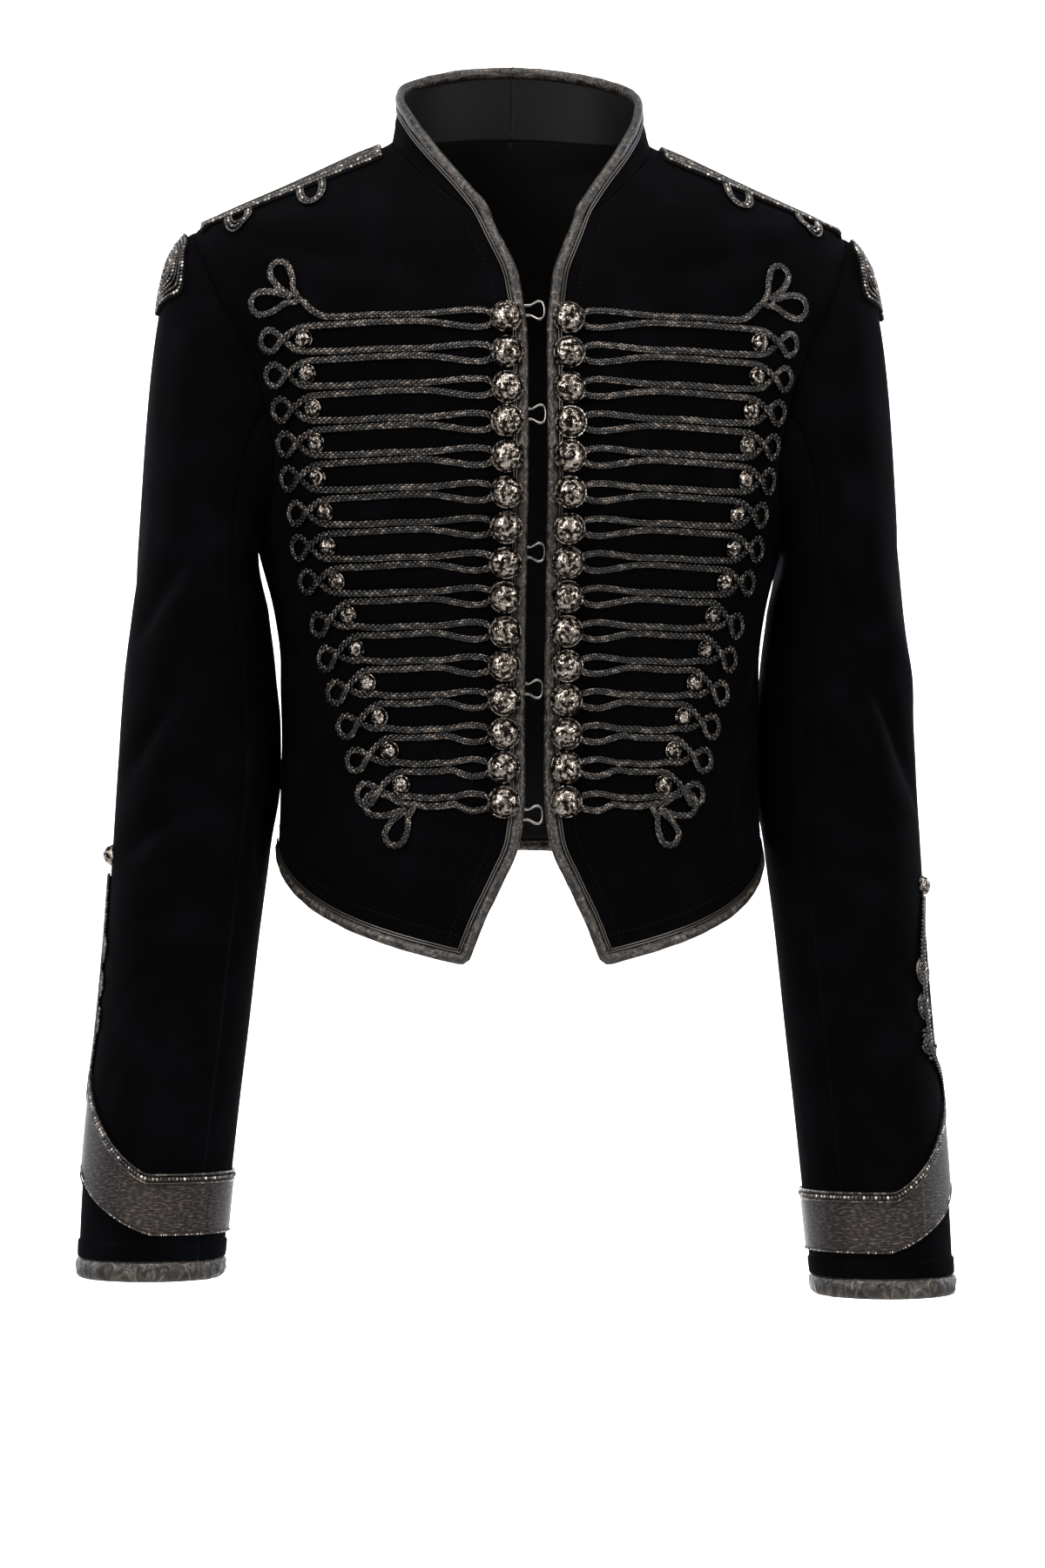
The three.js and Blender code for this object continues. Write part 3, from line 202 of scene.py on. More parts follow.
def body_base(angle, z):
    turn = np.radians(angle)
    depth = np.where(np.cos(turn) >= 0, body_front(z), body_back(z))
    return xyz(body_half(z) * np.sin(turn), -depth * np.cos(turn), z)


def body_cloth(angle, z):
    fold = fold_sum(angle, z, BODY_FOLDS, BODY_DEGREE) + fold_sum(angle, z, BODY_CREASES, BODY_DEGREE)
    wrapped = np.where(angle < 0, angle + 360, angle)
    fold = fold + np.where(angle < 0, fold_sum(wrapped, z, BODY_CREASES[-1:], BODY_DEGREE), 0)
    return body_base(angle, z) + normal_of(body_base, angle, z, 0.5, 0.5) * fold[..., None]


def body_point(angle, z, out=0.0):
    angle, z = np.broadcast_arrays(np.asarray(angle, float), np.asarray(z, float))
    return body_cloth(angle, z) + body_normal(angle, z) * np.asarray(out)[..., None]


def body_normal(angle, z):
    angle, z = np.broadcast_arrays(np.asarray(angle, float), np.asarray(z, float))
    return normal_of(body_cloth, angle, z, 0.5, 0.5)


def angle_at_x(x, z):
    return np.degrees(np.arcsin(np.clip(x / body_half(z), -1, 1)))


def arc_per_degree(angle, z):
    return np.linalg.norm(body_base(angle + 0.5, z) - body_base(angle - 0.5, z), axis=-1)


def armhole(turn):
    turn = np.radians(turn)
    height = ARMHOLE["middle_z"] + ARMHOLE["half_height"] * np.cos(turn)
    return 90 - ARMHOLE["half_angle"] * np.sin(turn), height


EDGE_ROWS = len(FRONT_EDGE) - 1
edge_angles = angle_at_x(FRONT_EDGE[:, 0], FRONT_EDGE[:, 1])
front_angle = through(np.arange(EDGE_ROWS + 2), [*edge_angles, COLLAR[0, 0]])
front_height = through(np.arange(EDGE_ROWS + 2), [*FRONT_EDGE[:, 1], COLLAR[0, 1]])
collar_row = [through(np.arange(len(COLLAR)), COLLAR[:, k]) for k in range(5)]
PANEL_ROWS = SIDE_SEAM_STEPS + ARMHOLE["steps"]


def side_edge(row, forward):
    """The angle and height of a panel's outer edge, up the side seam and round half of the armhole."""
    underarm = ARMHOLE["middle_z"] - ARMHOLE["half_height"]
    turn = 180 * (1 - (row - SIDE_SEAM_STEPS) / ARMHOLE["steps"])
    angle, z = armhole(turn if forward else -turn)
    on_seam = row < SIDE_SEAM_STEPS
    seam_z = lerp(SIDE_HEM_Z, underarm, row / SIDE_SEAM_STEPS)
    return np.where(on_seam, 90, angle), np.where(on_seam, seam_z, z)


def front_inner(row):
    on_edge = row <= EDGE_ROWS + 1
    past = np.maximum(row - EDGE_ROWS - 1, 0)
    clipped = np.minimum(row, EDGE_ROWS + 1)
    return (np.where(on_edge, front_angle(clipped), collar_row[0](past)),
            np.where(on_edge, front_height(clipped), collar_row[1](past)))


def back_inner(row):
    neck_rows = len(COLLAR) - SIDE_NECK_ROW
    start = PANEL_ROWS + 1 - neck_rows
    neck_row = len(COLLAR) - 1 - np.maximum(row - start, 0)
    z = np.where(row < start, lerp(SIDE_HEM_Z, COLLAR[-1, 1], row / start), collar_row[1](neck_row))
    return np.where(row < start, 180, collar_row[0](neck_row)), z


def edge_fall(u):
    """How far a panel turns in at its outer seam: most at the very edge, none a few millimetres in."""
    return 0.5 * np.exp(-((1 - u) * 100 / 2.2))


def panel_grid(forward, side, down, across):
    """Angles and heights over a front or over half of the back, with down steps for each row of its table."""
    rows = np.linspace(0, PANEL_ROWS, PANEL_ROWS * down + 1)[:, None]
    u = np.linspace(0, 1, across)[None, :]
    u = u + 0.06 * np.sin(2 * np.pi * u) / (2 * np.pi)
    inner = front_inner(rows) if forward else back_inner(rows)
    outer = side_edge(rows, forward)
    fade = np.maximum(0, 1 - rows / SIDE_SEAM_STEPS) ** 2
    z = lerp(inner[1], outer[1], u) - (HEM_DIP if forward else 0) * fade * np.sin(np.pi * u)
    angle = lerp(inner[0], outer[0], u)
    angle = np.minimum(angle, 90) if forward else np.maximum(angle, 90)
    return side * angle, z, edge_fall(u)


def collar_frames(row, v, side):
    """Places and outward normals of the collar at a row of its table and a share of its height."""
    angle, z, top_x, top_y, top_z = (curve(row) for curve in collar_row)
    foot = body_point(side * angle, z)
    normal = body_normal(side * angle, z)
    top = xyz(side * top_x, top_y, top_z)
    climb = top - foot
    step = unit(climb - normal * (climb * normal).sum(-1, keepdims=True))
    foot = foot + COLLAR_GAP * step
    at = foot + (top - foot) * np.asarray(v)[..., None]
    return at, top - foot, normal


def collar_spot(row, v, side, out=0.0):
    row, v = np.broadcast_arrays(np.asarray(row, float), np.asarray(v, float))
    last = len(COLLAR) - 1
    at, climb, normal = collar_frames(row, v, side)
    ahead = collar_frames(np.minimum(row + 0.05, last), v, side)[0]
    behind = collar_frames(np.maximum(row - 0.05, 0), v, side)[0]
    outwards = unit(np.cross(ahead - behind, climb))
    outwards = outwards * np.sign((outwards * normal).sum(-1, keepdims=True))
    return at + outwards * np.asarray(out)[..., None], outwards


sleeve_curves = [through(SLEEVE[:, 0], SLEEVE[:, k]) for k in (1, 2, 3, 4)]
sleeve_inner, sleeve_outer, sleeve_middle, sleeve_depth = sleeve_curves


def tube_point(arm, z, angle):
    lean = arm["lean"] * smooth(-z, 397, 650)
    middle = (sleeve_inner(z) + sleeve_outer(z)) / 2 + lean
    half = (sleeve_outer(z) - sleeve_inner(z)) / 2
    turn = np.radians(angle)
    return xyz(middle + half * np.cos(turn), sleeve_middle(z) - sleeve_depth(z) * np.sin(turn), z)


def cap_start(angle):
    edge_angle, z = armhole(angle)
    at = body_cloth(edge_angle, z)
    inwards = body_cloth(lerp(edge_angle, 90, 0.02), lerp(z, ARMHOLE["middle_z"], 0.02)) - at
    return at + ARMHOLE["gap"] * unit(inwards)


def cap_point(arm, s, angle):
    start, end = cap_start(angle), tube_point(arm, np.full_like(s, SLEEVE_TOP_Z), angle)
    span = np.linalg.norm(end - start, axis=-1, keepdims=True)
    turn = np.radians(angle)
    outwards = unit(xyz(1, -0.15 * np.sin(turn), -0.15 - 0.25 * np.cos(turn)))
    down = unit(tube_point(arm, np.full_like(s, SLEEVE_TOP_Z - 1), angle) - end)
    t = s[..., None]
    bend = t * t * (3 - 2 * t)
    return (start * (1 - bend) + end * bend
            + outwards * (0.44 * span * t * (1 - t) ** 2) - down * (0.92 * span * t * t * (1 - t)))


def sleeve_base(arm, s, angle):
    head = cap_point(arm, np.clip(s, 0, 1), angle)
    tube = tube_point(arm, lerp(SLEEVE_TOP_Z, arm["end"], np.maximum(s, 1) - 1), angle)
    return np.where((s <= 1)[..., None], head, tube)


# Foot and head of the cuff band: height over the sleeve's end, rise of the point, half its width in degrees
BAND_EDGES = [(14, 36, 85), (48, 56, 78)]


def band_edges(arm, angle):
    turn = np.abs((angle - arm["peak"] + 540) % 360 - 180)
    return [arm["end"] + height + rise * np.maximum(0, 1 - turn / half) ** 1.35
            for height, rise, half in BAND_EDGES]


def sleeve_fold(arm, angle, z):
    total = 0
    for folds in (SLEEVE_FOLDS, SLEEVE_CREASES):
        for which, z0, a0, z1, a1, width, depth in folds:
            if which in (0, arm["side"]):
                nearest = angle + 360 * np.round(((a0 + a1) / 2 - angle) / 360)
                total = total + fold_sum(nearest, z, [(a0, z0, a1, z1, width, depth)], SLEEVE_DEGREE)
    return total


def sleeve_cloth(arm, s, angle):
    base = sleeve_base(arm, s, angle)
    normal = -normal_of(lambda u, v: sleeve_base(arm, np.maximum(u, 0), v), s, angle, 0.01, 1)
    z = base[..., 2]
    fade = smooth(s, 0.05, 0.4) * smooth(z - band_edges(arm, angle)[1], 6, 26)
    pucker = 0.28 * np.sin(np.radians(angle) * 17) * smooth(s, 0.0, 0.05) * (1 - smooth(s, 0.06, 0.3))
    return base + normal * (fade * sleeve_fold(arm, angle, z) + pucker)[..., None]


def sleeve_spot(arm, s, angle, out=0.0):
    """Places and normals on a sleeve, on its own side of the body."""
    s, angle = np.broadcast_arrays(np.asarray(s, float), np.asarray(angle, float))
    normal = -normal_of(lambda u, v: sleeve_cloth(arm, np.maximum(u, 0), v), s, angle, 0.01, 1)
    at = sleeve_cloth(arm, s, angle) + normal * np.asarray(out)[..., None]
    mirror = np.array([arm["side"], 1, 1])
    return at * mirror, normal * mirror


def tube_s(arm, z):
    return 1 + (z - SLEEVE_TOP_Z) / (arm["end"] - SLEEVE_TOP_Z)


def column_angle(column, s):
    return lerp(HIND_SEAM[0], HIND_SEAM[1], smooth(s, 0, 1.5)) + 360 / SLEEVE_COLUMNS * column


def shoulder_spot(side, x, y, out=0.0):
    """The place on the shoulder over x and y, where the body's level section passes through them."""
    x, y = np.broadcast_arrays(np.asarray(x, float), np.asarray(y, float))
    inside, outside = np.full(x.shape, -90.0), np.full(x.shape, 8.0)
    for _ in range(30):
        z = (inside + outside) / 2
        depth = np.where(y < 0, body_front(z), body_back(z))
        under = (x / body_half(z)) ** 2 + (y / depth) ** 2 < 1
        inside, outside = np.where(under, z, inside), np.where(under, outside, z)
    depth = np.where(y < 0, body_front(inside), body_back(inside))
    angle = side * np.degrees(np.arctan2(x / body_half(inside), -y / depth))
    return body_point(angle, inside, out), body_normal(angle, inside)


class Pile:
    """Points and faces of one piece, gathered bit by bit, with a material and a tone for each face."""

    def __init__(self):
        self.points, self.uvs, self.blocks, self.count = [], [], [], 0

    def add(self, points, faces, material=0, tone=0.5, uv=None):
        points = np.asarray(points, float).reshape(-1, 3)
        faces = np.asarray(faces) + self.count
        self.points.append(points)
        self.uvs.append(np.zeros((len(points), 2)) if uv is None else np.asarray(uv, float).reshape(-1, 2))
        self.blocks.append((faces, material, np.broadcast_to(tone, (len(faces),))))
        self.count += len(points)

    def build(self, name, materials, weld=False):
        deselect()
        points = np.concatenate(self.points) * MM
        loops = np.concatenate([faces.ravel() for faces, _, _ in self.blocks])
        sizes = np.concatenate([np.full(len(faces), faces.shape[1]) for faces, _, _ in self.blocks])
        mesh = bpy.data.meshes.new(name)
        mesh.vertices.add(len(points))
        mesh.vertices.foreach_set("co", points.ravel())
        mesh.loops.add(len(loops))
        mesh.loops.foreach_set("vertex_index", loops)
        mesh.polygons.add(len(sizes))
        mesh.polygons.foreach_set("loop_start", np.concatenate([[0], np.cumsum(sizes)[:-1]]))
        kinds = np.concatenate([np.full(len(faces), material) for faces, material, _ in self.blocks])
        mesh.polygons.foreach_set("material_index", kinds)
        mesh.update(calc_edges=True)
        layer = mesh.uv_layers.new(name="UVMap")
        layer.data.foreach_set("uv", np.concatenate(self.uvs)[loops].ravel())
        tone = mesh.attributes.new("tone", "FLOAT", "FACE")
        tone.data.foreach_set("value", np.concatenate([tones for _, _, tones in self.blocks]).astype(float))
        for material in materials:
            mesh.materials.append(material)
        if weld:
            shape = bmesh.new()
            shape.from_mesh(mesh)
            bmesh.ops.remove_doubles(shape, verts=shape.verts, dist=0.00001)
            bmesh.ops.recalc_face_normals(shape, faces=shape.faces)
            shape.to_mesh(mesh)
            shape.free()
        mesh.polygons.foreach_set("use_smooth", np.ones(len(mesh.polygons), bool))
        mesh.validate()
        piece = bpy.data.objects.new(name, mesh)
        bpy.context.collection.objects.link(piece)
        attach(piece, "root")
        return piece


def deselect():
    bpy.ops.object.select_all(action="DESELECT")


def grid_faces(rows, columns, ring=False, closed=False):
    """Quads over a grid of points, its columns joined in a ring and its rows closed where that is asked."""
    index = np.arange(rows * columns).reshape(rows, columns)
    if ring:
        index = np.concatenate([index, index[:, :1]], axis=1)
    if closed:
        index = np.concatenate([index, index[:1]])
    return np.stack([index[:-1, :-1], index[:-1, 1:], index[1:, 1:], index[1:, :-1]], -1).reshape(-1, 4)


def add_shell(pile, outer, inner, uv, faces=(0, 1, 0)):
    """Cloth between two grids of points, closed at its edges, with a material for each side and the edge."""
    rows, columns = outer.shape[:2]
    quads = grid_faces(rows, columns)
    shift = rows * columns
    index = np.arange(shift).reshape(rows, columns)
    border = np.concatenate([index[0, :], index[1:, -1], index[-1, -2::-1], index[-2:0:-1, 0]])
    ahead = np.roll(border, -1)
    rim = np.stack([border, border + shift, ahead + shift, ahead], -1)
    points = np.concatenate([outer.reshape(-1, 3), inner.reshape(-1, 3)])
    both = np.concatenate([uv.reshape(-1, 2), uv.reshape(-1, 2)])
    start = pile.count
    pile.add(points, quads, faces[0], uv=both)
    pile.blocks.append((quads[:, ::-1] + shift + start, faces[1], np.full(len(quads), 0.5)))
    pile.blocks.append((rim + start, faces[2], np.full(len(rim), 0.5)))


def lengths(points):
    return np.concatenate([[0], np.cumsum(np.linalg.norm(np.diff(points, axis=0), axis=-1))])


def spline(points, per=8):
    """A round curve through rows of numbers."""
    padded = np.concatenate([[2 * points[0] - points[1]], points, [2 * points[-1] - points[-2]]])
    t = np.linspace(0, 1, per, endpoint=False)[:, None]
    pieces = []
    for a, b, c, d in zip(padded, padded[1:], padded[2:], padded[3:]):
        pieces.append(0.5 * (2 * b + (c - a) * t + (2 * a - 5 * b + 4 * c - d) * t ** 2
                             + (3 * b - a - 3 * c + d) * t ** 3))
    return np.concatenate([*pieces, points[-1:]])


def at_marks(rows, travelled, marks):
    """Rows of numbers along a path, read off at the marked distances."""
    return np.stack([np.interp(marks, travelled, column) for column in rows.T], -1)


def even(values, surface, pitch, shift=0.0, closed=False):
    """Values along a path moved to even steps of pitch millimetres on the surface."""
    travelled = lengths(surface(values)[0])
    total = travelled[-1]
    steps = max(2, int(round(total / pitch)))
    marks = (np.arange(steps if closed else steps + 1) + shift) * total / steps
    marks = marks[marks <= total]
    return at_marks(values, travelled, marks)


def frames_on(values, surface, closed=False):
    """Places, directions along, directions across and normals on a surface for each row of values."""
    at, normal = surface(values)
    if closed:
        along = unit(np.roll(at, -1, 0) - np.roll(at, 1, 0))
    else:
        along = unit(np.gradient(at, axis=0))
    across = unit(np.cross(along, normal))
    return at, unit(np.cross(normal, across)), across, normal


def line_on(surface, values, pitch, shift=0.0, closed=False):
    """Frames at even steps along a path on a surface."""
    return frames_on(even(values, surface, pitch, shift, closed), surface, closed)


def sweep(pile, frames, section, material=0, tone=0.5):
    """A bar along frames, its section's corners given across and up, and for each frame where they differ."""
    at, _, across, normal = frames
    section = np.asarray(section, float)
    if section.ndim == 2:
        section = np.broadcast_to(section, (len(at), *section.shape))
    points = at[:, None] + across[:, None] * section[..., :1] + normal[:, None] * section[..., 1:]
    sides = section.shape[1]
    travelled = lengths(at)
    uv = np.stack(np.broadcast_arrays(travelled[:, None] * MM, np.arange(sides)[None] / sides), -1)
    start = pile.count
    pile.add(points, grid_faces(len(at), sides, ring=True), material, tone, uv)
    ends = np.stack([np.arange(sides)[::-1], np.arange(sides) + (len(at) - 1) * sides])
    pile.blocks.append((ends + start, material, np.full(2, tone)))


def round_section(width, height, sides=8, squash=0.0):
    turn = np.arange(sides) * 2 * np.pi / sides + np.pi / sides
    return np.stack([width / 2 * np.cos(turn), height / 2 * (1 + np.sin(turn)) - squash], -1)


def turned(first, second, turn):
    """Two directions at right angles, turned in their own plane."""
    return first * np.cos(turn) + second * np.sin(turn), second * np.cos(turn) - first * np.sin(turn)


def stamp(pile, shape, frames, offset=(0, 0), roll=0.0, twist=0.0, size=1.0, material=0, tones=None):
    """Copies of a small shape along frames: its X lies across, its Y along and its Z out."""
    points, faces = shape
    at, along, across, normal = frames
    if np.any(roll):
        across, normal = turned(across, normal, -np.radians(roll))
    if np.any(twist):
        across, along = turned(across, along, np.radians(np.broadcast_to(twist, (len(at),)))[:, None])
    at = at + frames[2] * offset[0] + frames[3] * offset[1]
    scale = np.broadcast_to(size, (len(at),))[:, None, None]
    local = points[None] * scale
    placed = (at[:, None] + local[..., :1] * across[:, None] + local[..., 1:2] * along[:, None]
              + local[..., 2:] * normal[:, None])
    if tones is None:
        tones = rng.uniform(0, 1, len(at))
    start = pile.count
    pile.add(placed, np.zeros((0, 4), int), material)
    for block in faces:
        spread = (block[None] + (np.arange(len(at)) * len(points))[:, None, None]).reshape(-1, block.shape[1])
        pile.blocks.append((spread + start, material, np.repeat(tones, len(block))))


def keep_shape():
    """The active object's points in millimetres and its faces; the object itself is then removed."""
    shape = bpy.context.object
    mesh = shape.data
    points = np.array([vertex.co[:] for vertex in mesh.vertices]) / MM
    faces = {}
    for face in mesh.polygons:
        faces.setdefault(len(face.vertices), []).append(list(face.vertices))
    blocks = [np.array(block) for block in faces.values()]
    bpy.data.objects.remove(shape)
    bpy.data.meshes.remove(mesh)
    return points, blocks


def bugle_bead(radius, length, sides=6):
    """A cut tube bead lying along Y, its ends a little narrower."""
    deselect()
    bpy.ops.mesh.primitive_cylinder_add(
        vertices=sides, radius=radius * MM, depth=length * MM, end_fill_type="NOTHING",
        rotation=(math.pi / 2, 0, 0))
    bpy.ops.object.transform_apply(location=False, rotation=True, scale=False)
    bpy.ops.object.mode_set(mode="EDIT")
    bpy.ops.mesh.select_all(action="DESELECT")
    bpy.ops.mesh.select_mode(type="EDGE")
    bpy.ops.mesh.select_non_manifold(extend=False)
    bpy.ops.mesh.extrude_edges_move()
    bpy.ops.transform.resize(value=(0.62, 1.1, 0.62), center_override=(0, 0, 0))
    bpy.ops.mesh.select_mode(type="VERT")
    bpy.ops.object.mode_set(mode="OBJECT")
    return keep_shape()


def seed_bead(radius, flat=0.8, segments=8, rings=5, along=1.0):
    """A round bead, a little flattened."""
    deselect()
    bpy.ops.mesh.primitive_uv_sphere_add(segments=segments, ring_count=rings, radius=radius * MM)
    bpy.ops.object.mode_set(mode="EDIT")
    bpy.ops.mesh.select_all(action="SELECT")
    bpy.ops.transform.resize(value=(1, along, flat))
    bpy.ops.object.mode_set(mode="OBJECT")
    return keep_shape()


def put(tree, kind, settings=None, inputs=None):
    """Adds a node with its settings, each input given as a value or as the socket that feeds it."""
    node = tree.nodes.new(kind)
    for key, value in (settings or {}).items():
        setattr(node, key, value)
    for key, value in (inputs or {}).items():
        if isinstance(value, bpy.types.NodeSocket):
            tree.links.new(value, node.inputs[key])
        else:
            node.inputs[key].default_value = value
    return node


def linear(code, alpha=1.0):
    """A colour from its sRGB hex code."""
    parts = [int(code[i:i + 2], 16) / 255 for i in (1, 3, 5)]
    return (*[c / 12.92 if c <= 0.04045 else ((c + 0.055) / 1.055) ** 2.4 for c in parts], alpha)


def new_material(name, color, roughness, metallic=0.0, **more):
    material = bpy.data.materials.new(name)
    material.use_nodes = True
    material.diffuse_color = linear(color)
    tree = material.node_tree
    shader = tree.nodes["Principled BSDF"]
    shader.inputs["Base Color"].default_value = linear(color)
    shader.inputs["Roughness"].default_value = roughness
    shader.inputs["Metallic"].default_value = metallic
    for key, value in more.items():
        shader.inputs[key.replace("_", " ")].default_value = value
    return material, tree, shader


def noise(tree, scale_mm, detail=3.0):
    """Noise on the object whose features are about that many millimetres wide."""
    vector = put(tree, "ShaderNodeTexCoord").outputs["Object"]
    settings = {"Vector": vector, "Scale": 1 / (scale_mm * MM), "Detail": detail}
    return put(tree, "ShaderNodeTexNoise", inputs=settings)


def tint(tree, shader, factor, stops):
    """Gives the shader a colour for each factor, from pairs of place and sRGB code."""
    node = put(tree, "ShaderNodeValToRGB", inputs={"Fac": factor})
    for element, (place, code) in zip(node.color_ramp.elements, (stops[0], stops[-1])):
        element.position, element.color = place, linear(code)
    for place, code in stops[1:-1]:
        node.color_ramp.elements.new(place).color = linear(code)
    tree.links.new(node.outputs["Color"], shader.inputs["Base Color"])


def bump(tree, shader, height, depth_mm, strength=1.0, below=None):
    """Low relief of the given depth, over another one where that is given."""
    settings = {"Height": height, "Distance": depth_mm * MM, "Strength": strength}
    node = put(tree, "ShaderNodeBump", inputs=settings)
    if below is not None:
        tree.links.new(below, node.inputs["Normal"])
    tree.links.new(node.outputs["Normal"], shader.inputs["Normal"])
    return node.outputs["Normal"]


def velvet_material():
    """Near-black cut velvet, dark navy where it turns away, with the pile brushed in patches; the patches'
    slightly lighter and darker base colour is painted sheen of the brushed pile.
    """
    material, tree, shader = new_material(
        "cut_velvet", "#030304", 0.9, Specular_IOR_Level=0.03, Sheen_Weight=0.08, Sheen_Roughness=0.28,
        Sheen_Tint=linear("#414b68"))
    patches = noise(tree, 34, detail=2.0).outputs["Fac"]
    # painted sheen: patches of the base colour are a little lighter where the brushed pile would catch the
    # light
    tint(tree, shader, patches, [(0.3, "#010101"), (0.55, "#020203"), (0.8, "#050507")])
    brushed = put(tree, "ShaderNodeMapRange", inputs={"Value": patches, 1: 0.3, 2: 0.75, 3: 0.03, 4: 0.15})
    tree.links.new(brushed.outputs[0], shader.inputs["Sheen Weight"])
    pile = noise(tree, 0.45, detail=1.0).outputs["Fac"]
    under = bump(tree, shader, pile, 0.25, 0.35)
    crush = noise(tree, 9, detail=2.0).outputs["Fac"]
    bump(tree, shader, crush, 0.6, 0.3, under)
    return material


def mapped(tree, scale):
    """The piece's own UV map, stretched by a scale."""
    coords = put(tree, "ShaderNodeTexCoord").outputs["UV"]
    return put(tree, "ShaderNodeMapping", inputs={"Vector": coords, "Scale": scale}).outputs["Vector"]


def lining_material():
    material, tree, shader = new_material(
        "black_satin_lining", "#040405", 0.62, Specular_IOR_Level=0.15)
    twill = put(tree, "ShaderNodeTexWave", {"bands_direction": "DIAGONAL"},
                {"Scale": 900.0, "Distortion": 1.0})
    bump(tree, shader, twill.outputs["Fac"], 0.05, 0.3)
    return material


def satin_material():
    """Crushed grey-taupe satin with short folds across the roll and a soft shine; its colour is painted shade
    and sheen, dark in the folds' hollows and light on their ridges.
    """
    material, tree, shader = new_material("crushed_satin", "#3d3732", 0.36, 0.25)
    folds = put(tree, "ShaderNodeTexNoise", inputs={
        "Vector": mapped(tree, (1.0, 0.018, 1.0)), "Scale": 190.0, "Detail": 3.0,
        "Distortion": 1.5}).outputs["Fac"]
    # painted shade and sheen: the colour follows the same folds as the bump, dark in their hollows and light
    # on their ridges
    tint(tree, shader, folds, [(0.3, "#0d0b0a"), (0.48, "#28231f"), (0.62, "#453e38"), (0.78, "#756c63")])
    fuzz = noise(tree, 0.5, detail=2.0).outputs["Fac"]
    under = bump(tree, shader, fuzz, 0.12, 0.35)
    bump(tree, shader, folds, 1.6, 0.9, under)
    return material


def bead_material(name, dark, middle, bright, roughness, metallic):
    """Glass beads with a metal finish, each of its own shade by the tone kept on its faces."""
    material, tree, shader = new_material(
        name, middle, roughness, metallic, Coat_Weight=0.6, Coat_Roughness=0.06)
    tone = put(tree, "ShaderNodeAttribute", {"attribute_name": "tone"}).outputs["Fac"]
    tint(tree, shader, tone, [(0.0, dark), (0.6, middle), (1.0, bright)])
    rough = put(tree, "ShaderNodeMapRange", inputs={"Value": tone, 3: roughness + 0.14, 4: roughness - 0.06})
    tree.links.new(rough.outputs[0], shader.inputs["Roughness"])
    return material


def braid_material():
    """Satin stitch in metallic thread: fine level threads in short stitches, with painted shimmer: patches of
    stitches are painted lighter where they are raised and darker where they sink.
    """
    material, tree, shader = new_material("metallic_thread", "#463c35", 0.36, 0.55)
    threads = put(tree, "ShaderNodeTexWave", {"bands_direction": "Y"}, {
        "Vector": put(tree, "ShaderNodeTexCoord").outputs["UV"], "Scale": 420.0, "Distortion": 3.4,
        "Detail": 2.0, "Detail Scale": 2.2})
    patches = put(tree, "ShaderNodeTexNoise", inputs={
        "Vector": mapped(tree, (0.35, 1.0, 1.0)), "Scale": 900.0, "Detail": 2.0})
    # painted shimmer: stitches are lighter on the raised patches and darker on the sunken ones, as the thread
    # would catch the light
    tint(tree, shader, patches.outputs["Fac"], [(0.32, "#090706"), (0.5, "#1c1613"), (0.68, "#50443b")])
    under = bump(tree, shader, threads.outputs["Fac"], 0.3, 0.8)
    bump(tree, shader, patches.outputs["Fac"], 0.35, 0.6, under)
    return material


def metal_material(name, color, roughness, worn=None, relief_mm=0.0):
    """Worn metal; relief_mm is the depth of a fine cast pattern whose hollows are dark."""
    material, tree, shader = new_material(name, color, roughness, 1.0)
    marks = noise(tree, 2.4, detail=3.0).outputs["Fac"]
    if worn:
        tint(tree, shader, marks, [(0.45, worn), (0.57, color)])
    rough = put(tree, "ShaderNodeMapRange", inputs={"Value": marks, 3: roughness + 0.12, 4: roughness - 0.05})
    tree.links.new(rough.outputs[0], shader.inputs["Roughness"])
    under = bump(tree, shader, noise(tree, 0.9, detail=2.0).outputs["Fac"], 0.05, 0.25)
    if relief_mm:
        bump(tree, shader, marks, relief_mm, 1.0, under)
    return material


def plain_thread(name, color):
    material, tree, shader = new_material(name, color, 0.7, Specular_IOR_Level=0.08)
    twist = put(tree, "ShaderNodeTexWave", {"bands_direction": "DIAGONAL"}, {"Scale": 700.0})
    bump(tree, shader, twist.outputs["Fac"], 0.1, 0.5)
    return material


VELVET = velvet_material()
LINING = lining_material()
SATIN = satin_material()
CORD_BEADS = bead_material("gunmetal_beads", "#060505", "#1c1815", "#655b52", 0.2, 0.85)
SEED_BEADS = bead_material("silver_lined_beads", "#1b1715", "#5d544c", "#cbc2b7", 0.16, 0.9)
CORE = plain_thread("black_cord", "#060505")
EDGE_CORD = bead_material("silver_cord", "#12100e", "#312c27", "#6f665d", 0.34, 0.6)
BRAID = braid_material()
PEWTER = metal_material("aged_pewter", "#a0968c", 0.15, "#1d1815", 0.8)
WIRE = metal_material("nickel_wire", "#8e8983", 0.25)
STITCH = plain_thread("navy_thread", "#040507")


def keep(piece, slot, *nodes):
    if nodes:
        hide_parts(*nodes)
    return piece


FACE, INSIDE = 0.1, -1.2  # the cloth's two faces, out from the form
COARSE = 1
PANEL_STEPS = (8 // COARSE, 74 // COARSE)


def body_shell(pile, angle, z, fall):
    outer = body_point(angle, z, FACE - fall)
    inner = body_point(angle, z, INSIDE)
    uv = np.stack([angle * BODY_DEGREE * MM, z * MM], -1)
    add_shell(pile, outer, inner, uv)


for name, side in SIDES.items():
    pile = Pile()
    body_shell(pile, *panel_grid(True, side, *PANEL_STEPS))
    keep(pile.build(f"front_{name}_velvet", [VELVET, LINING], weld=True), "velvet", f"front_{name}")

pile = Pile()
for side in SIDES.values():
    body_shell(pile, *panel_grid(False, side, *PANEL_STEPS))
keep(pile.build("back_velvet", [VELVET, LINING], weld=True), "velvet", "back")

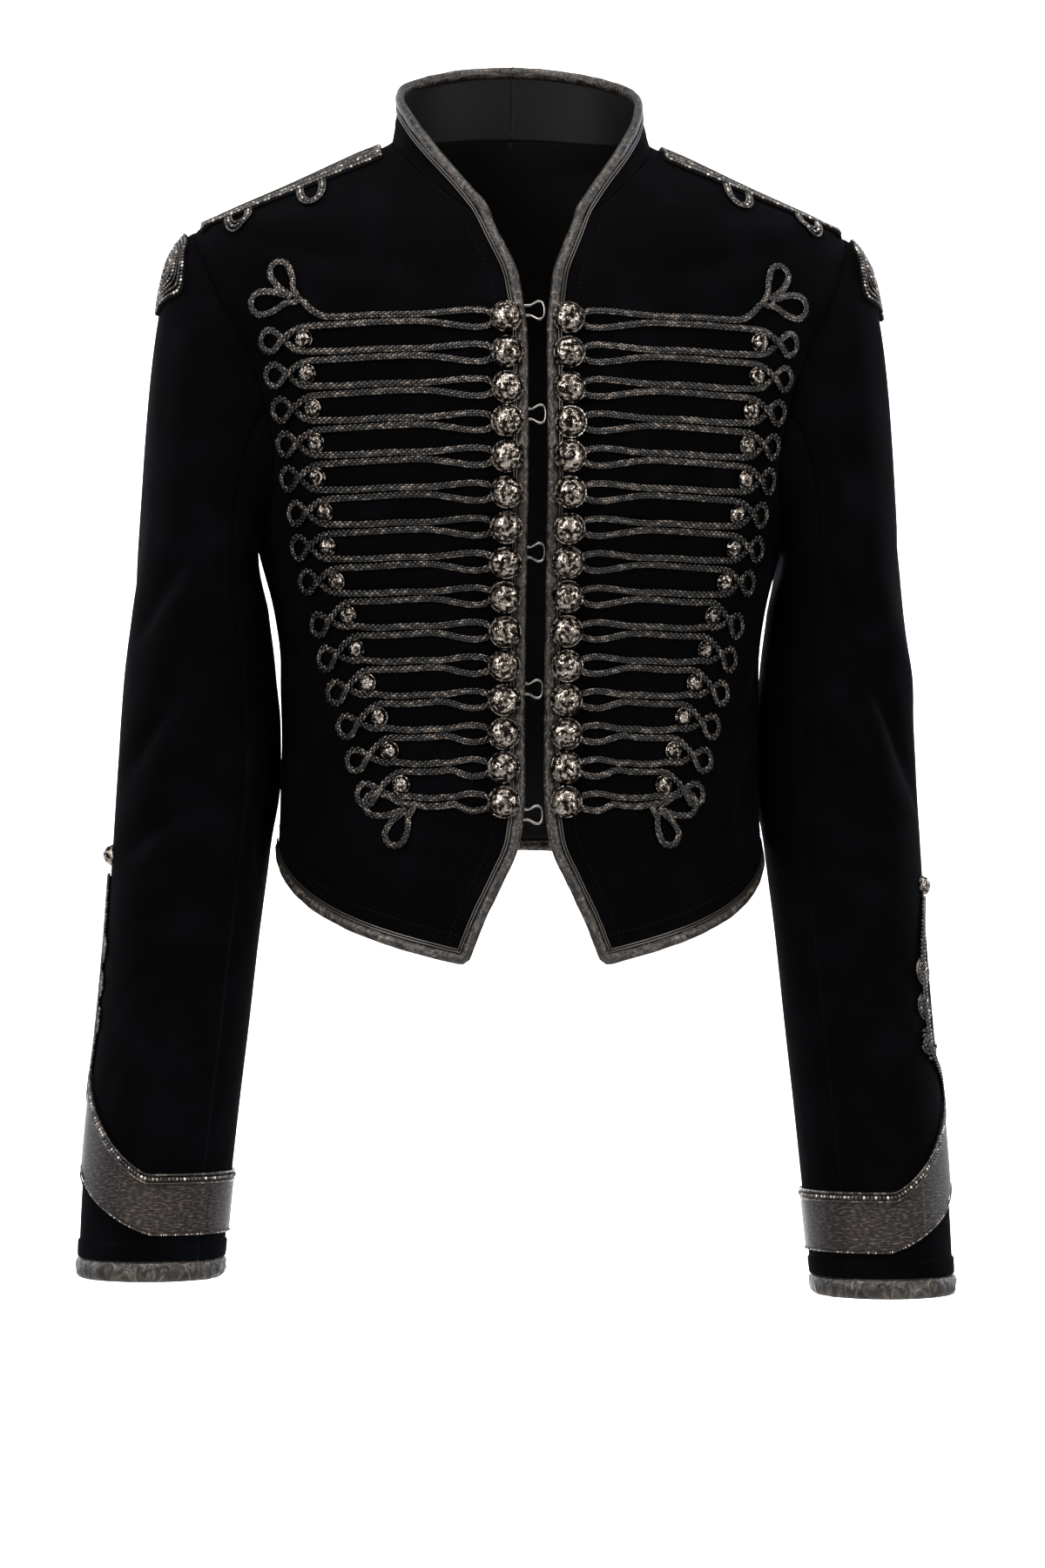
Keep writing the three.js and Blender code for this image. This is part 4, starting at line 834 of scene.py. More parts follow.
pile = Pile()
rows = np.linspace(0, len(COLLAR) - 1, 91)[:, None]
share = np.concatenate([[-0.05], np.linspace(0, 1, 17)])[None, :]
for side in SIDES.values():
    outer, _ = collar_spot(rows, share, side, np.where(share < 0, -0.7, FACE))
    inner, _ = collar_spot(rows, share, side, INSIDE)
    uv = np.stack(np.broadcast_arrays(rows * 24 * MM, share * 36 * MM), -1)
    add_shell(pile, outer, inner, uv)
keep(pile.build("collar_velvet", [VELVET, LINING], weld=True), "velvet", "collar")


def sleeve_piece(arm, first, last):
    """A top or under sleeve with its creases, its raised hem band and edges that turn in at the seams."""
    cap = np.linspace(0, 1, 46 // COARSE, endpoint=False)
    tube = tube_s(arm, np.linspace(SLEEVE_TOP_Z, arm["end"] + 12, 112 // COARSE))
    band = tube_s(arm, arm["end"] + np.array([10.4, 9.9, 9.4, 8.8, 7.5, 5, 2.5, 1, 0.3, 0]))
    raised = np.array([0, 0.1, 0.7, 1.0, 1.1, 1.1, 1.1, 1.0, 0.8, 0.3])
    s = np.concatenate([cap, tube, band])[:, None]
    raise_by = np.concatenate([np.zeros(len(cap) + len(tube)), raised])[:, None]
    column = np.linspace(first, last, (last - first) * (5 // COARSE) + 1)[None, :]
    from_seam = np.minimum(column - first, last - column)
    angle = column_angle(column, s)
    fall = 0.45 * np.exp(-from_seam * 16 / 2.4) + 0.4 * np.exp(-s * 120 / 3)
    outer, _ = sleeve_spot(arm, s, angle, FACE + raise_by - fall)
    inner, _ = sleeve_spot(arm, s, angle, INSIDE)
    uv = np.stack(np.broadcast_arrays(column * 14 * MM, s * 380 * MM), -1)
    pile = Pile()
    add_shell(pile, outer, inner, uv)
    return pile


for name, arm in ARMS.items():
    for kind, first, last in (("top", 0, FORE_SEAM_COLUMN), ("under", FORE_SEAM_COLUMN, SLEEVE_COLUMNS)):
        node = f"{kind}_sleeve_{name}"
        pile = sleeve_piece(arm, first, last)
        keep(pile.build(f"{node}_velvet", [VELVET, LINING], weld=True), "velvet", node)


# The satin rolls, with the cords along their velvet side and the stitches further in
HEM_STEPS = 60


def edge_values():
    """Kind and place along one half's edge: 0 back's hem, 1 front's hem, 2 front, 3 collar."""
    back = [(0, t) for t in np.linspace(0, 1, HEM_STEPS)]
    hem = [(1, t) for t in np.linspace(0, 1, HEM_STEPS)[1:]]
    front = [(2, t) for t in np.linspace(0, EDGE_ROWS + 1, 150)[1:]]
    neck = [(3, t) for t in np.linspace(0, len(COLLAR) - 1, 110)[1:]]
    return np.array(back + hem + front + neck)


def edge_spots(side, inwards):
    """Places, outward directions and normals along the edge of one half, moved in from it by millimetres."""
    values = edge_values()
    kind, t = values[:, 0], values[:, 1]
    tip_angle, tip_z = front_inner(np.array(0.0))
    hem_angle = np.where(kind == 0, lerp(180, 90, t), lerp(90, tip_angle, t))
    dip = HEM_DIP * np.sin(np.pi * (1 - t))
    hem_z = np.where(kind == 0, SIDE_HEM_Z, lerp(SIDE_HEM_Z, tip_z, t) - dip)
    edge_angle, edge_z = front_inner(np.minimum(t, EDGE_ROWS + 1))
    angle = np.where(kind < 2, hem_angle, edge_angle)
    z = np.where(kind < 2, hem_z, edge_z)
    at = body_cloth(side * angle, z)
    normal = body_normal(side * angle, z)
    neck = kind == 3
    top, out = collar_spot(t[neck], np.ones(neck.sum()), side)
    at[neck], normal[neck] = top, out
    along = unit(np.gradient(at, axis=0))
    outwards = unit(np.cross(along, normal)) * side
    centre = unit(xyz(at[:, 0] * 0.5, at[:, 1] * 0.2, np.full(len(at), -200.0)) - at)
    outwards = outwards * np.where((outwards[:HEM_STEPS] * centre[:HEM_STEPS]).sum() > 0, -1, 1)
    if inwards == 0:
        return at, outwards, normal, kind
    moved = at - outwards * inwards
    body = kind < 3
    z_in = moved[:, 2]
    depth = np.where(moved[:, 1] < 0, body_front(z_in), body_back(z_in))
    angle_in = np.degrees(np.arctan2(moved[:, 0] / body_half(z_in), -moved[:, 1] / depth))
    at[body] = body_cloth(angle_in, z_in)[body]
    normal[body] = body_normal(angle_in, z_in)[body]
    climb = np.linalg.norm(top - collar_spot(t[neck], np.zeros(neck.sum()), side)[0], axis=-1)
    share_in = np.clip(1 - inwards / np.maximum(climb, 1e-6), 0, 1)
    inner, inner_out = collar_spot(t[neck], share_in, side)
    short = climb < inwards + 1
    at[neck] = np.where(short[:, None], moved[neck], inner)
    normal[neck] = inner_out
    return at, outwards, normal, kind


def with_corner(at, outwards, normal, kind):
    """The same rows with a fan of directions at the hem's tip, so that a bar goes round it."""
    tip = int(np.argmax(kind == 2)) - 1
    fan = np.linspace(0, 1, 7)[1:-1, None]
    fanned = unit(outwards[tip - 2] * (1 - fan) + outwards[tip + 3] * fan)
    rows = [np.concatenate([a[:tip], np.repeat(a[tip:tip + 1], 5, 0), a[tip + 1:]]) for a in (at, normal)]
    return rows[0], np.concatenate([outwards[:tip], fanned, outwards[tip + 1:]]), rows[1]


def calm(rows, top_z=-82, reach=4):
    """Evens out the rows above a height, where the front's edge runs on as the collar's."""
    weights = np.hanning(2 * reach + 3)[1:-1]
    padded = np.pad(rows, ((reach, reach), (0, 0)), "edge")
    even_rows = np.apply_along_axis(lambda a: np.convolve(a, weights / weights.sum(), "valid"), 0, padded)
    share = smooth(rows[:, 2], top_z, top_z + 12)[:, None] * smooth(np.abs(rows[:, 0]), 6, 24)[:, None]
    return lerp(rows, even_rows, share)


ROLL_SIDES = 12
ROLL_TURNS = np.arange(ROLL_SIDES) * np.pi / 6


def roll_section(count, width, height, outwards_shift, up_shift, seed):
    """A soft round section for each frame, swelling and sinking as crushed satin does."""
    local = np.random.default_rng(seed)
    steps = local.normal(0, 1, (count + 8, ROLL_SIDES))
    kernel = np.array([1, 3, 4, 3, 1]) / 12
    uneven = np.apply_along_axis(lambda a: np.convolve(a, kernel, "same"), 0, steps)[4:-4]
    uneven = (uneven + np.roll(uneven, 1, 1) + np.roll(uneven, -1, 1)) / 3
    radius = 1 + 0.13 * uneven
    across = outwards_shift + width / 2 * np.cos(ROLL_TURNS) * radius
    up = up_shift + height / 2 * np.sin(ROLL_TURNS) * radius
    return np.stack([across, up], -1)


for name, side in SIDES.items():
    at, outwards, normal, kind = edge_spots(side, 0)
    at, outwards, normal = with_corner(at, outwards, normal, kind)
    spread = np.stack([*at.T, *outwards.T, *normal.T], -1)
    travelled = lengths(at + outwards * 3)
    marks = np.linspace(0, travelled[-1], int(travelled[-1] / 2.4))
    spread = calm(at_marks(spread, travelled, marks))
    rolled = (spread[:, :3], None, unit(spread[:, 3:6]), unit(spread[:, 6:]))
    pile = Pile()
    section = roll_section(
        len(marks), width=6.4, height=5.2, outwards_shift=2.8, up_shift=-0.7, seed=5 + side)
    sweep(pile, rolled, section)
    keep(pile.build(f"edge_roll_{name}", [SATIN], weld=True), "satin", f"edge_trim_{name}")
    pile = Pile()
    for inwards, width in ((0.7, 1.1), (2.1, 1.0)):
        at, _, normal, kind = edge_spots(side, inwards)
        line = calm(np.concatenate([at + normal * 0.25, normal], -1))
        at, normal = line[:, :3], unit(line[:, 3:])
        frames = (at, None, unit(np.cross(unit(np.gradient(at, axis=0)), normal)), normal)
        sweep(pile, frames, round_section(width, width, 6), tone=0.6)
    keep(pile.build(f"edge_cords_{name}", [EDGE_CORD]), "satin")

bead_long = bugle_bead(0.92, 3.15)
bead_short = bugle_bead(0.8, 2.1, 5)
bead_round = seed_bead(1.05, segments=7, rings=4)


# The frogging's cord, along the same places as the solid's
def front_place(x, z, move=0.0, lift=0.0):
    start = angle_at_x(x, z)
    return np.array([start + move / arc_per_degree(start + move / 4, z), z, lift])


def crossing_place(crossing, along, across, lift=0.0):
    x, z, turn, _ = crossing
    turn = math.radians(turn)
    return front_place(x, z + along * math.sin(turn) + across * math.cos(turn),
                       along * math.cos(turn) - across * math.sin(turn), lift)


# One link beyond its ball button: along, across and lift; the strands cross before they close in a loop
LINK_PATH = [(-2, 6.9, 0), (4, 5.9, 0), (8.5, 3.2, 0.9), (12.5, 0, 2.1), (16.5, -3.4, 0.9), (20.5, -5.9, 0),
             (25, -4.9, 0), (27.6, 0, 0), (25, 4.9, 0), (20.5, 5.9, 0), (16.5, 3.4, 0), (12.5, 0, 0),
             (8.5, -3.2, 0), (4, -5.9, 0), (-2, -6.9, 0)]


def link_places(place, turn):
    return [crossing_place((*place, turn, None), *step) for step in LINK_PATH]


def loop_places(crossing):
    loop = crossing[3]
    middle = CORD_CLEAR + CORD_WIDTH / 2

    def strand(way):
        return [crossing_place(crossing, way * along, way * middle) for along in (-4.8, -1.8, 1.8, 4.8)]

    turns = ((0.48, 0.86), (0.84, 0.92), (1, 0), (0.84, -0.92), (0.48, -0.86))
    bend = [crossing_place(crossing, a * loop["reach"], b * loop["half"]) for a, b in turns]
    return [*strand(1), *bend, *strand(-1)]


def row_z(row):
    return ROWS["first"] - ROWS["pitch"] * row


def link_place(row):
    return LINKS[row], row_z(row) - ROWS["pitch"] / 2


def row_places(row):
    upper = ROW_TOP if row == 0 else link_place(row - 1)
    lower = ROW_FOOT if row == ROWS["count"] - 1 else link_place(row)
    z = row_z(row)

    def strand(link, way):
        offset = way * CORD_SPACING / 2
        reach = 0.7 if link in (ROW_TOP, ROW_FOOT) else 0.97
        places = [front_place(link[0] - 11, lerp(link[1], z + offset, reach))]
        for t in (0, 0.34, 0.68):
            rise = ROWS["arch"] * math.sin(math.pi * t)
            places.append(front_place(lerp(link[0] - 20, ROWS["flare_x"] + 6, t), z + offset + rise))
        return [*places, front_place(ROWS["flare_x"], z + way * ROWS["flare"] / 2)]

    end = [front_place(ROWS["loop_x"], z + way * 2.6) for way in (1, -1)]
    return [*strand(upper, 1), *end, *strand(lower, -1)[::-1]]


def frogging_places():
    places = loop_places((*ROW_TOP, 62, END_LOOP))[1:-2]
    places += loop_places((*ROW_TOP, -6, LINK_LOOP))[2:]
    for row in range(ROWS["count"]):
        places += row_places(row)
        if row < len(LINKS):
            places += link_places(link_place(row), -14 if row > 7 else 0)
    places += loop_places((*ROW_FOOT, 6, LINK_LOOP))[:-2]
    places += loop_places((*ROW_FOOT, -62, END_LOOP))[2:-1]
    return np.array(places)


def rope_of_beads(pile, values, surface, bead, pitch, radius, core):
    """Three lines of beads in brick order over a half-round core."""
    sweep(pile, line_on(surface, values, 2.6), round_section(core, core * 0.8, 6), material=1)
    for lean, shift in ((-50, 0.0), (0, 0.5), (50, 0.0)):
        frames = line_on(surface, values, pitch, shift)
        turn = math.radians(lean)
        place = (radius * math.sin(turn), 0.35 + radius * math.cos(turn))
        stamp(pile, bead, frames, place, roll=-lean, twist=rng.normal(0, 3, len(frames[0])))


for name, side in SIDES.items():
    def front_surface(values, side=side):
        angle, z, lift = side * values[:, 0], values[:, 1], 0.25 + values[:, 2]
        return body_point(angle, z, lift), body_normal(angle, z)

    curve = spline(frogging_places(), 7)
    pile = Pile()
    rope_of_beads(pile, curve, front_surface, bead_long, 3.3, 1.45, 3.0)
    keep(pile.build(f"bead_cord_{name}", [CORD_BEADS, CORE]), "bead_cord", f"frogging_{name}")


# Buttons: a turned dome with a rim, a ring of raised petals and a boss
def raise_faces(test, inset, height):
    """Insets the faces that pass the test and moves them out."""
    shape = bpy.context.object
    bpy.ops.object.mode_set(mode="EDIT")
    bpy.ops.mesh.select_all(action="DESELECT")
    mesh = bmesh.from_edit_mesh(shape.data)
    for face in mesh.faces:
        face.select_set(bool(test(face)))
    bmesh.update_edit_mesh(shape.data)
    bpy.ops.mesh.inset(thickness=inset * MM, depth=height * MM, use_individual=False)
    bpy.ops.object.mode_set(mode="OBJECT")


def dome_shape(radius, height, segments=32, rings=14, petals=8):
    """A domed button standing on the XY plane."""
    deselect()
    bpy.ops.mesh.primitive_uv_sphere_add(segments=segments, ring_count=rings, radius=radius * 0.93 * MM)
    bpy.ops.object.mode_set(mode="EDIT")
    bpy.ops.mesh.select_all(action="SELECT")
    bpy.ops.mesh.bisect(plane_co=(0, 0, 0), plane_no=(0, 0, 1), clear_inner=True, use_fill=True)
    bpy.ops.mesh.select_all(action="SELECT")
    bpy.ops.transform.resize(value=(1, 1, (height - 0.6) / (radius * 0.93)), center_override=(0, 0, 0))
    bpy.ops.object.mode_set(mode="OBJECT")

    def on_petal(face):
        centre = face.calc_center_median() / MM
        out = math.hypot(centre.x, centre.y) / radius
        turn = math.atan2(centre.y, centre.x) * petals / (2 * math.pi) % 1
        return centre.z > 0.2 and 0.34 < out < 0.74 and turn < 0.74

    def on_boss(face):
        centre = face.calc_center_median() / MM
        return centre.z > 0.2 and math.hypot(centre.x, centre.y) / radius < 0.24

    raise_faces(on_petal, 0.22, 0.3)
    raise_faces(on_boss, 0.3, 0.55)
    body = keep_shape()
    deselect()
    bpy.ops.mesh.primitive_torus_add(
        major_segments=72, minor_segments=6, major_radius=radius * 0.93 * MM, minor_radius=radius * 0.07 * MM,
        location=(0, 0, 0.6 * MM))
    bpy.ops.object.transform_apply(location=True, rotation=False, scale=False)
    rim, rim_faces = keep_shape()
    turn = np.arctan2(rim[:, 1], rim[:, 0])
    rim = rim * (1 + 0.014 * np.sin(24 * turn))[:, None]
    return [body, (rim, rim_faces)]


def stand(pile, shapes, at, normal, lift, spin):
    """Sets shapes on a place, their Z along its normal."""
    up = unit(np.asarray(normal, float))
    across = unit(np.cross((0, 0, 1), up))
    along = np.cross(up, across)
    across, along = turned(across, along, math.radians(spin))
    frames = (np.array([at + up * lift]), along[None], across[None], up[None])
    for shape in shapes:
        stamp(pile, shape, frames, tones=np.array([0.6]))


def button_piece(node, shapes, at, normal, lift, spin, tilt=(0, 0)):
    """A dome in the place of a button's solid, tilted a little from the cloth's normal."""
    pile = Pile()
    up = unit(normal + np.array([tilt[0], 0, tilt[1]]))
    stand(pile, shapes, at, up, lift, spin)
    piece = keep(pile.build(f"{node}_dome", [PEWTER]), "pewter", node)
    bpy.context.view_layer.objects.active = piece
    piece.select_set(True)
    bpy.ops.object.shade_smooth_by_angle(angle=math.radians(38))


def front_spot(side, x, z):
    angle, height, _ = front_place(x, z)
    return body_point(side * angle, height, LIFT), body_normal(side * angle, height)


DOME = dome_shape(BUTTON["radius"], BUTTON["height"])
for name, side in SIDES.items():
    for row in range(ROWS["count"]):
        at, normal = front_spot(side, BUTTON["x"], row_z(row))
        tilt = rng.normal(0, 0.05, 2)
        node = f"button_{name}_{row + 1:02d}"
        button_piece(node, DOME, at, normal, BUTTON["lift"], rng.uniform(0, 45), tilt)

# The ball buttons at the links: a fluted ball with a small cap
BALL = dome_shape(5.4, 5.6, segments=20, rings=12, petals=10)
for name, side in SIDES.items():
    pile = Pile()
    for row in range(len(LINKS)):
        at, normal = front_spot(side, *link_place(row))
        stand(pile, BALL, at, unit(normal + np.append(rng.normal(0, 0.04, 2), 0)), 0.5, rng.uniform(0, 36))
    keep(pile.build(f"ball_buttons_{name}", [PEWTER]), "pewter")

# Shoulder boards: a felt base under rings of beads, with roped loops before and behind
board_half = through(BOARD[:, 0], BOARD[:, 1])
BOARD_LINES = 25
BOARD_LOOKS = [CORD_BEADS, CORE, SEED_BEADS]
BOARD_ENDS = (BOARD[0, 0], BOARD[-1, 0])


def add_beads(pile, bright, frames, lift, size=1.0):
    """A line of bright round beads or of dark cut ones, on a board or a leaf."""
    shape = bead_round if bright else bead_short
    stamp(pile, shape, frames, (0, lift), size=size, material=2 if bright else 0)


def board_loop(x, reach, half, way, shrink):
    turn = np.linspace(0, np.pi, 30)
    along = (reach - shrink) * np.sin(turn) ** 0.75
    across = -(half - shrink) * np.cos(turn) * (1 + 0.12 * np.sin(turn))
    edge = board_half(x + across) - 2
    return np.stack([x + across, way * np.where((turn == 0) | (turn == np.pi), edge, edge + 2 + along)], -1)


for name, side in SIDES.items():
    def board_surface(values, side=side, out=1.3):
        return shoulder_spot(side, values[:, 0], values[:, 1], out)

    pile = Pile()
    x = np.linspace(*BOARD_ENDS, 54)[:, None]
    share = np.linspace(-1, 1, 40)[None, :]
    outer, _ = shoulder_spot(side, x, share * board_half(x), 1.9)
    inner, _ = shoulder_spot(side, x, share * board_half(x), 0.5)
    add_shell(pile, outer, inner, np.zeros((*outer.shape[:2], 2)), (1, 1, 1))
    x = np.linspace(BOARD_ENDS[0] + 1.2, BOARD_ENDS[1] - 1.4, 50)
    for line in range(BOARD_LINES):
        edge = line in (0, BOARD_LINES - 1)
        width = (board_half(x) - 1.2) * (2 * line / (BOARD_LINES - 1) - 1)
        pitch = 2.3 if edge else 2.5
        frames = line_on(board_surface, np.stack([x, width], -1), pitch, 0.5 * (line % 2))
        add_beads(pile, edge or line % 6 == 3, frames, 1.2 if edge else 0.75, 1.15)
    for place, inwards in ((BOARD_ENDS[0], 1.3), (BOARD_ENDS[1], -1.3)):
        width = np.linspace(-1, 1, 30) * (board_half(place) - 2)
        values = np.stack([np.full(30, place + inwards), width], -1)
        add_beads(pile, True, line_on(board_surface, values, 2.3), 1.1)
    for loop in BOARD_LOOPS:
        for way in (-1, 1):
            for shrink, bright in ((0.8, False), (2.4, True), (4.0, False)):
                values = board_loop(*loop, way, shrink)
                add_beads(pile, bright, line_on(board_surface, values, 2.3), 0.35)
            rope = line_on(board_surface, board_loop(*loop, way, 2.2), 1.5)
            sweep(pile, rope, round_section(3.8, 1.5, 6, squash=1.0), material=1)
    node = f"shoulder_board_{name}"
    keep(pile.build(f"{node}_beaded", BOARD_LOOKS), "bead_cord", node)

# The leaves on the sleeves' heads
leaf_half = through(LEAF[:, 0], LEAF[:, 1])
for name, arm in ARMS.items():
    s_steps = np.linspace(0.01, 1.1, 220)
    head = sleeve_base(arm, s_steps, np.full(220, float(LEAF_ANGLE)))
    travelled = lengths(head)
    degree = np.linalg.norm(sleeve_base(arm, s_steps, np.full(220, LEAF_ANGLE + 0.5))
                            - sleeve_base(arm, s_steps, np.full(220, LEAF_ANGLE - 0.5)), axis=-1)

    def leaf_surface(values, arm=arm, travelled=travelled, degree=degree, out=1.3):
        s = np.interp(values[..., 0], travelled, s_steps)
        per_degree = np.interp(values[..., 0], travelled, degree)
        return sleeve_spot(arm, s, LEAF_ANGLE + values[..., 1] / per_degree, out)

    def leaf_ring(inset):
        along = np.linspace(LEAF[0, 0] + inset, LEAF[-1, 0] - 1.6 * inset, 50)
        half = np.maximum(leaf_half(np.clip(along, *LEAF[[0, -1], 0])) - inset * 1.25, 0.05)
        across = np.linspace(half[0], -half[0], 12)[1:-1]
        return np.concatenate([np.stack([along, -half], -1), np.stack([along[::-1], half[::-1]], -1),
                               np.stack([np.full(10, along[0]), across], -1)])

    pile = Pile()
    along = np.linspace(LEAF[0, 0], LEAF[-1, 0], 34)[:, None]
    share = np.linspace(-1, 1, 25)[None, :]
    flat = np.stack(np.broadcast_arrays(along, share * leaf_half(along)), -1)
    crown = 1.6 + 1.2 * (1 - np.abs(share))
    outer, inner = leaf_surface(flat, out=crown)[0], leaf_surface(flat, out=0.5)[0]
    add_shell(pile, outer, inner, np.zeros((*outer.shape[:2], 2)), (1, 1, 1))
    for ring in range(9):
        inset = 1.0 + ring * 2.3
        if leaf_half(22) - inset * 1.25 < 1:
            break
        frames = line_on(leaf_surface, leaf_ring(inset), 2.3, 0.5 * (ring % 2), True)
        lift = 1.1 + 1.2 * np.clip(inset / 22, 0, 1)
        add_beads(pile, ring % 3 == 0, frames, lift, 1.05)
    node = f"sleeve_leaf_{name}"
    keep(pile.build(f"{node}_beaded", BOARD_LOOKS), "bead_cord", node)


# The cuffs: embroidered band with bead borders, the ornament above its point, and the satin roll
CUFF_ROLL = [  # out, down from the sleeve's end
    (0.2, 0.3), (1.3, 1.2), (1.8, 3.4), (1.7, 6.2), (1.2, 8.8), (0.1, 10.8),
    (-1.0, 11.2), (-2.2, 9.6), (-2.7, 6), (-2.6, 2), (-1.8, 0.4),
]


def band_shell(arm):
    steps = 240
    angle = np.linspace(0, 360, steps + 1)[None, :] + 60
    share = np.array([0, 0.015, 0.05, 0.1, 0.2, 0.35, 0.5, 0.65, 0.8, 0.9, 0.955, 0.985, 1])[:, None]
    foot, head = band_edges(arm, angle)
    z = lerp(foot, head, share)
    edge = np.minimum(share, 1 - share)
    seam = np.exp(-(((angle - 128 - (0 if arm["side"] > 0 else 4)) % 360) * 0.8 / 0.9) ** 2)
    out = 0.55 + 1.15 * smooth(edge, -0.02, 0.05) - 0.7 * seam
    outer, _ = sleeve_spot(arm, tube_s(arm, z), angle, out)
    inner, _ = sleeve_spot(arm, tube_s(arm, z), angle, 0.35)
    uv = np.stack(np.broadcast_arrays(angle * 0.72 * MM, z * MM), -1)
    return outer, inner, uv


# Rings of a rosette, and of the star: radius, bead and whether it is bright
ORNAMENT_RINGS = [
    (7.4, bead_short, False), (5.2, bead_round, True), (2.9, bead_short, False), (0.8, bead_round, True),
]


def ornament_angle(arm, z):
    end = arm["end"]
    heights = [end + 88, end + 100, end + 132, end + 172, end + 225]
    angles = [arm["peak"], arm["peak"], arm["rosette"], arm["rosette"] + 1e-6, arm["button"]]
    return through(heights, angles)(z)


for name, arm in ARMS.items():
    def cuff_surface(values, arm=arm):
        return sleeve_spot(arm, tube_s(arm, values[:, 1]), values[:, 0], 0.6)

    pile = Pile()
    add_shell(pile, *band_shell(arm), (0, 0, 0))
    keep(pile.build(f"cuff_band_{name}", [BRAID], weld=True), "braid", f"cuff_braid_{name}")
    pile = Pile()
    turns = np.linspace(0, 360, 361)[:-1]
    foot, head = band_edges(arm, turns)
    for z, bead, size, bright in ((head - 0.3, bead_short, 1.05, False), (head - 2.7, bead_round, 1.1, True),
                                  (head - 5.1, bead_short, 1.05, False), (foot + 0.5, bead_round, 0.6, True)):
        pitch = 2.2 * min(size, 1)
        frames = line_on(cuff_surface, np.stack([turns, z], -1), pitch, closed=True)
        stamp(pile, bead, frames, (0, 1.2), size=size, material=1 if bright else 0)
    z = np.linspace(arm["end"] + 214, arm["end"] + 92, 60)
    rope = np.stack([ornament_angle(arm, z), z], -1)
    sweep(pile, line_on(cuff_surface, rope, 1.6), round_section(3.2, 2.5, 6, squash=0.9), material=2)
    for lean, shift in ((-34, 0.0), (34, 0.5)):
        frames = line_on(cuff_surface, rope, 2.3, shift)
        stamp(pile, bead_short, frames, (1.25 * np.sign(lean), 0.9), twist=lean, size=1.25,
              material=0, tones=rng.uniform(0.3, 1, len(frames[0])))
    for height, is_star in ((172, False), (152, False), (131, True)):
        place = np.array([[float(ornament_angle(arm, arm["end"] + height)), arm["end"] + height]])
        at, normal = (row[0] for row in cuff_surface(place))
        across = unit(np.cross((0, 0, 1), normal))
        up = np.cross(normal, across)
        for radius, bead, bright in ORNAMENT_RINGS:
            count = max(3, round(2 * math.pi * radius / 2.2))
            turn = np.arange(count)[:, None] * 2 * math.pi / count + math.pi / 2
            reach = radius
            if is_star:
                reach = radius * (1.14 - 0.5 * np.abs(((turn - math.pi / 2) * 5 / math.pi) % 2 - 1)) * 1.12
            out = up * np.sin(turn) + across * np.cos(turn)
            away = up * np.cos(turn) - across * np.sin(turn)
            spots = at + out * reach + normal * (0.7 - 0.05 * radius)
            ups = np.broadcast_to(normal, spots.shape)
            bright = bright and (not is_star or radius < 1)
            stamp(pile, bead, (spots, away, out, ups), size=1.1, material=1 if bright else 0)
    keep(pile.build(f"cuff_beads_{name}", [CORD_BEADS, SEED_BEADS, CORE]), "bead_cord")
    spot = np.array([[float(ornament_angle(arm, arm["end"] + arm["drop"])), arm["end"] + arm["drop"]]])
    at, normal = (row[0] for row in cuff_surface(spot))
    small = dome_shape(6.2, 5.4, segments=24, rings=12, petals=8)
    button_piece(f"sleeve_button_{name}", small, at, normal, -0.5, 0)
    steps = 150
    turns = np.linspace(0, 360, steps, endpoint=False)
    points = []
    wave = 0.3 * rng.normal(0, 1, (steps, len(CUFF_ROLL)))
    wave = (wave + np.roll(wave, 1, 0) * 1.2 + np.roll(wave, -1, 0) * 1.2) / 2
    for k, (out, down) in enumerate(CUFF_ROLL):
        z = np.full(steps, arm["end"] - 0.3 - down)
        points.append(sleeve_spot(arm, tube_s(arm, z), turns, out + wave[:, k])[0])
    round_share = np.arange(len(CUFF_ROLL))[None] / len(CUFF_ROLL)
    uv = np.stack(np.broadcast_arrays(turns[:, None] * 0.72 * MM, round_share), -1)
    pile = Pile()
    pile.add(np.stack(points, 1), grid_faces(steps, len(CUFF_ROLL), ring=True, closed=True), uv=uv)
    keep(pile.build(f"cuff_roll_{name}", [SATIN], weld=True), "satin", f"cuff_trim_{name}")

# Stitches along the hem, the fronts and the collar
STITCH_INWARDS = 9.6
STITCH_PITCH = 3.1
STITCH_SHAPE = seed_bead(0.34, 0.7, 6, 4, 3.4)
for name, side in SIDES.items():
    at, _, normal, kind = edge_spots(side, STITCH_INWARDS)
    at = at + normal * 0.3
    travelled = lengths(at)
    marks = np.arange(2, travelled[-1] - 2, STITCH_PITCH)
    spots = at_marks(at, travelled, marks)
    ups = unit(at_marks(normal, travelled, marks))
    along = unit(np.gradient(spots, axis=0))
    across = unit(np.cross(along, ups))
    pile = Pile()
    stamp(pile, STITCH_SHAPE, (spots, along, across, ups))
    keep(pile.build(f"edge_stitches_{name}", [STITCH]), "velvet")

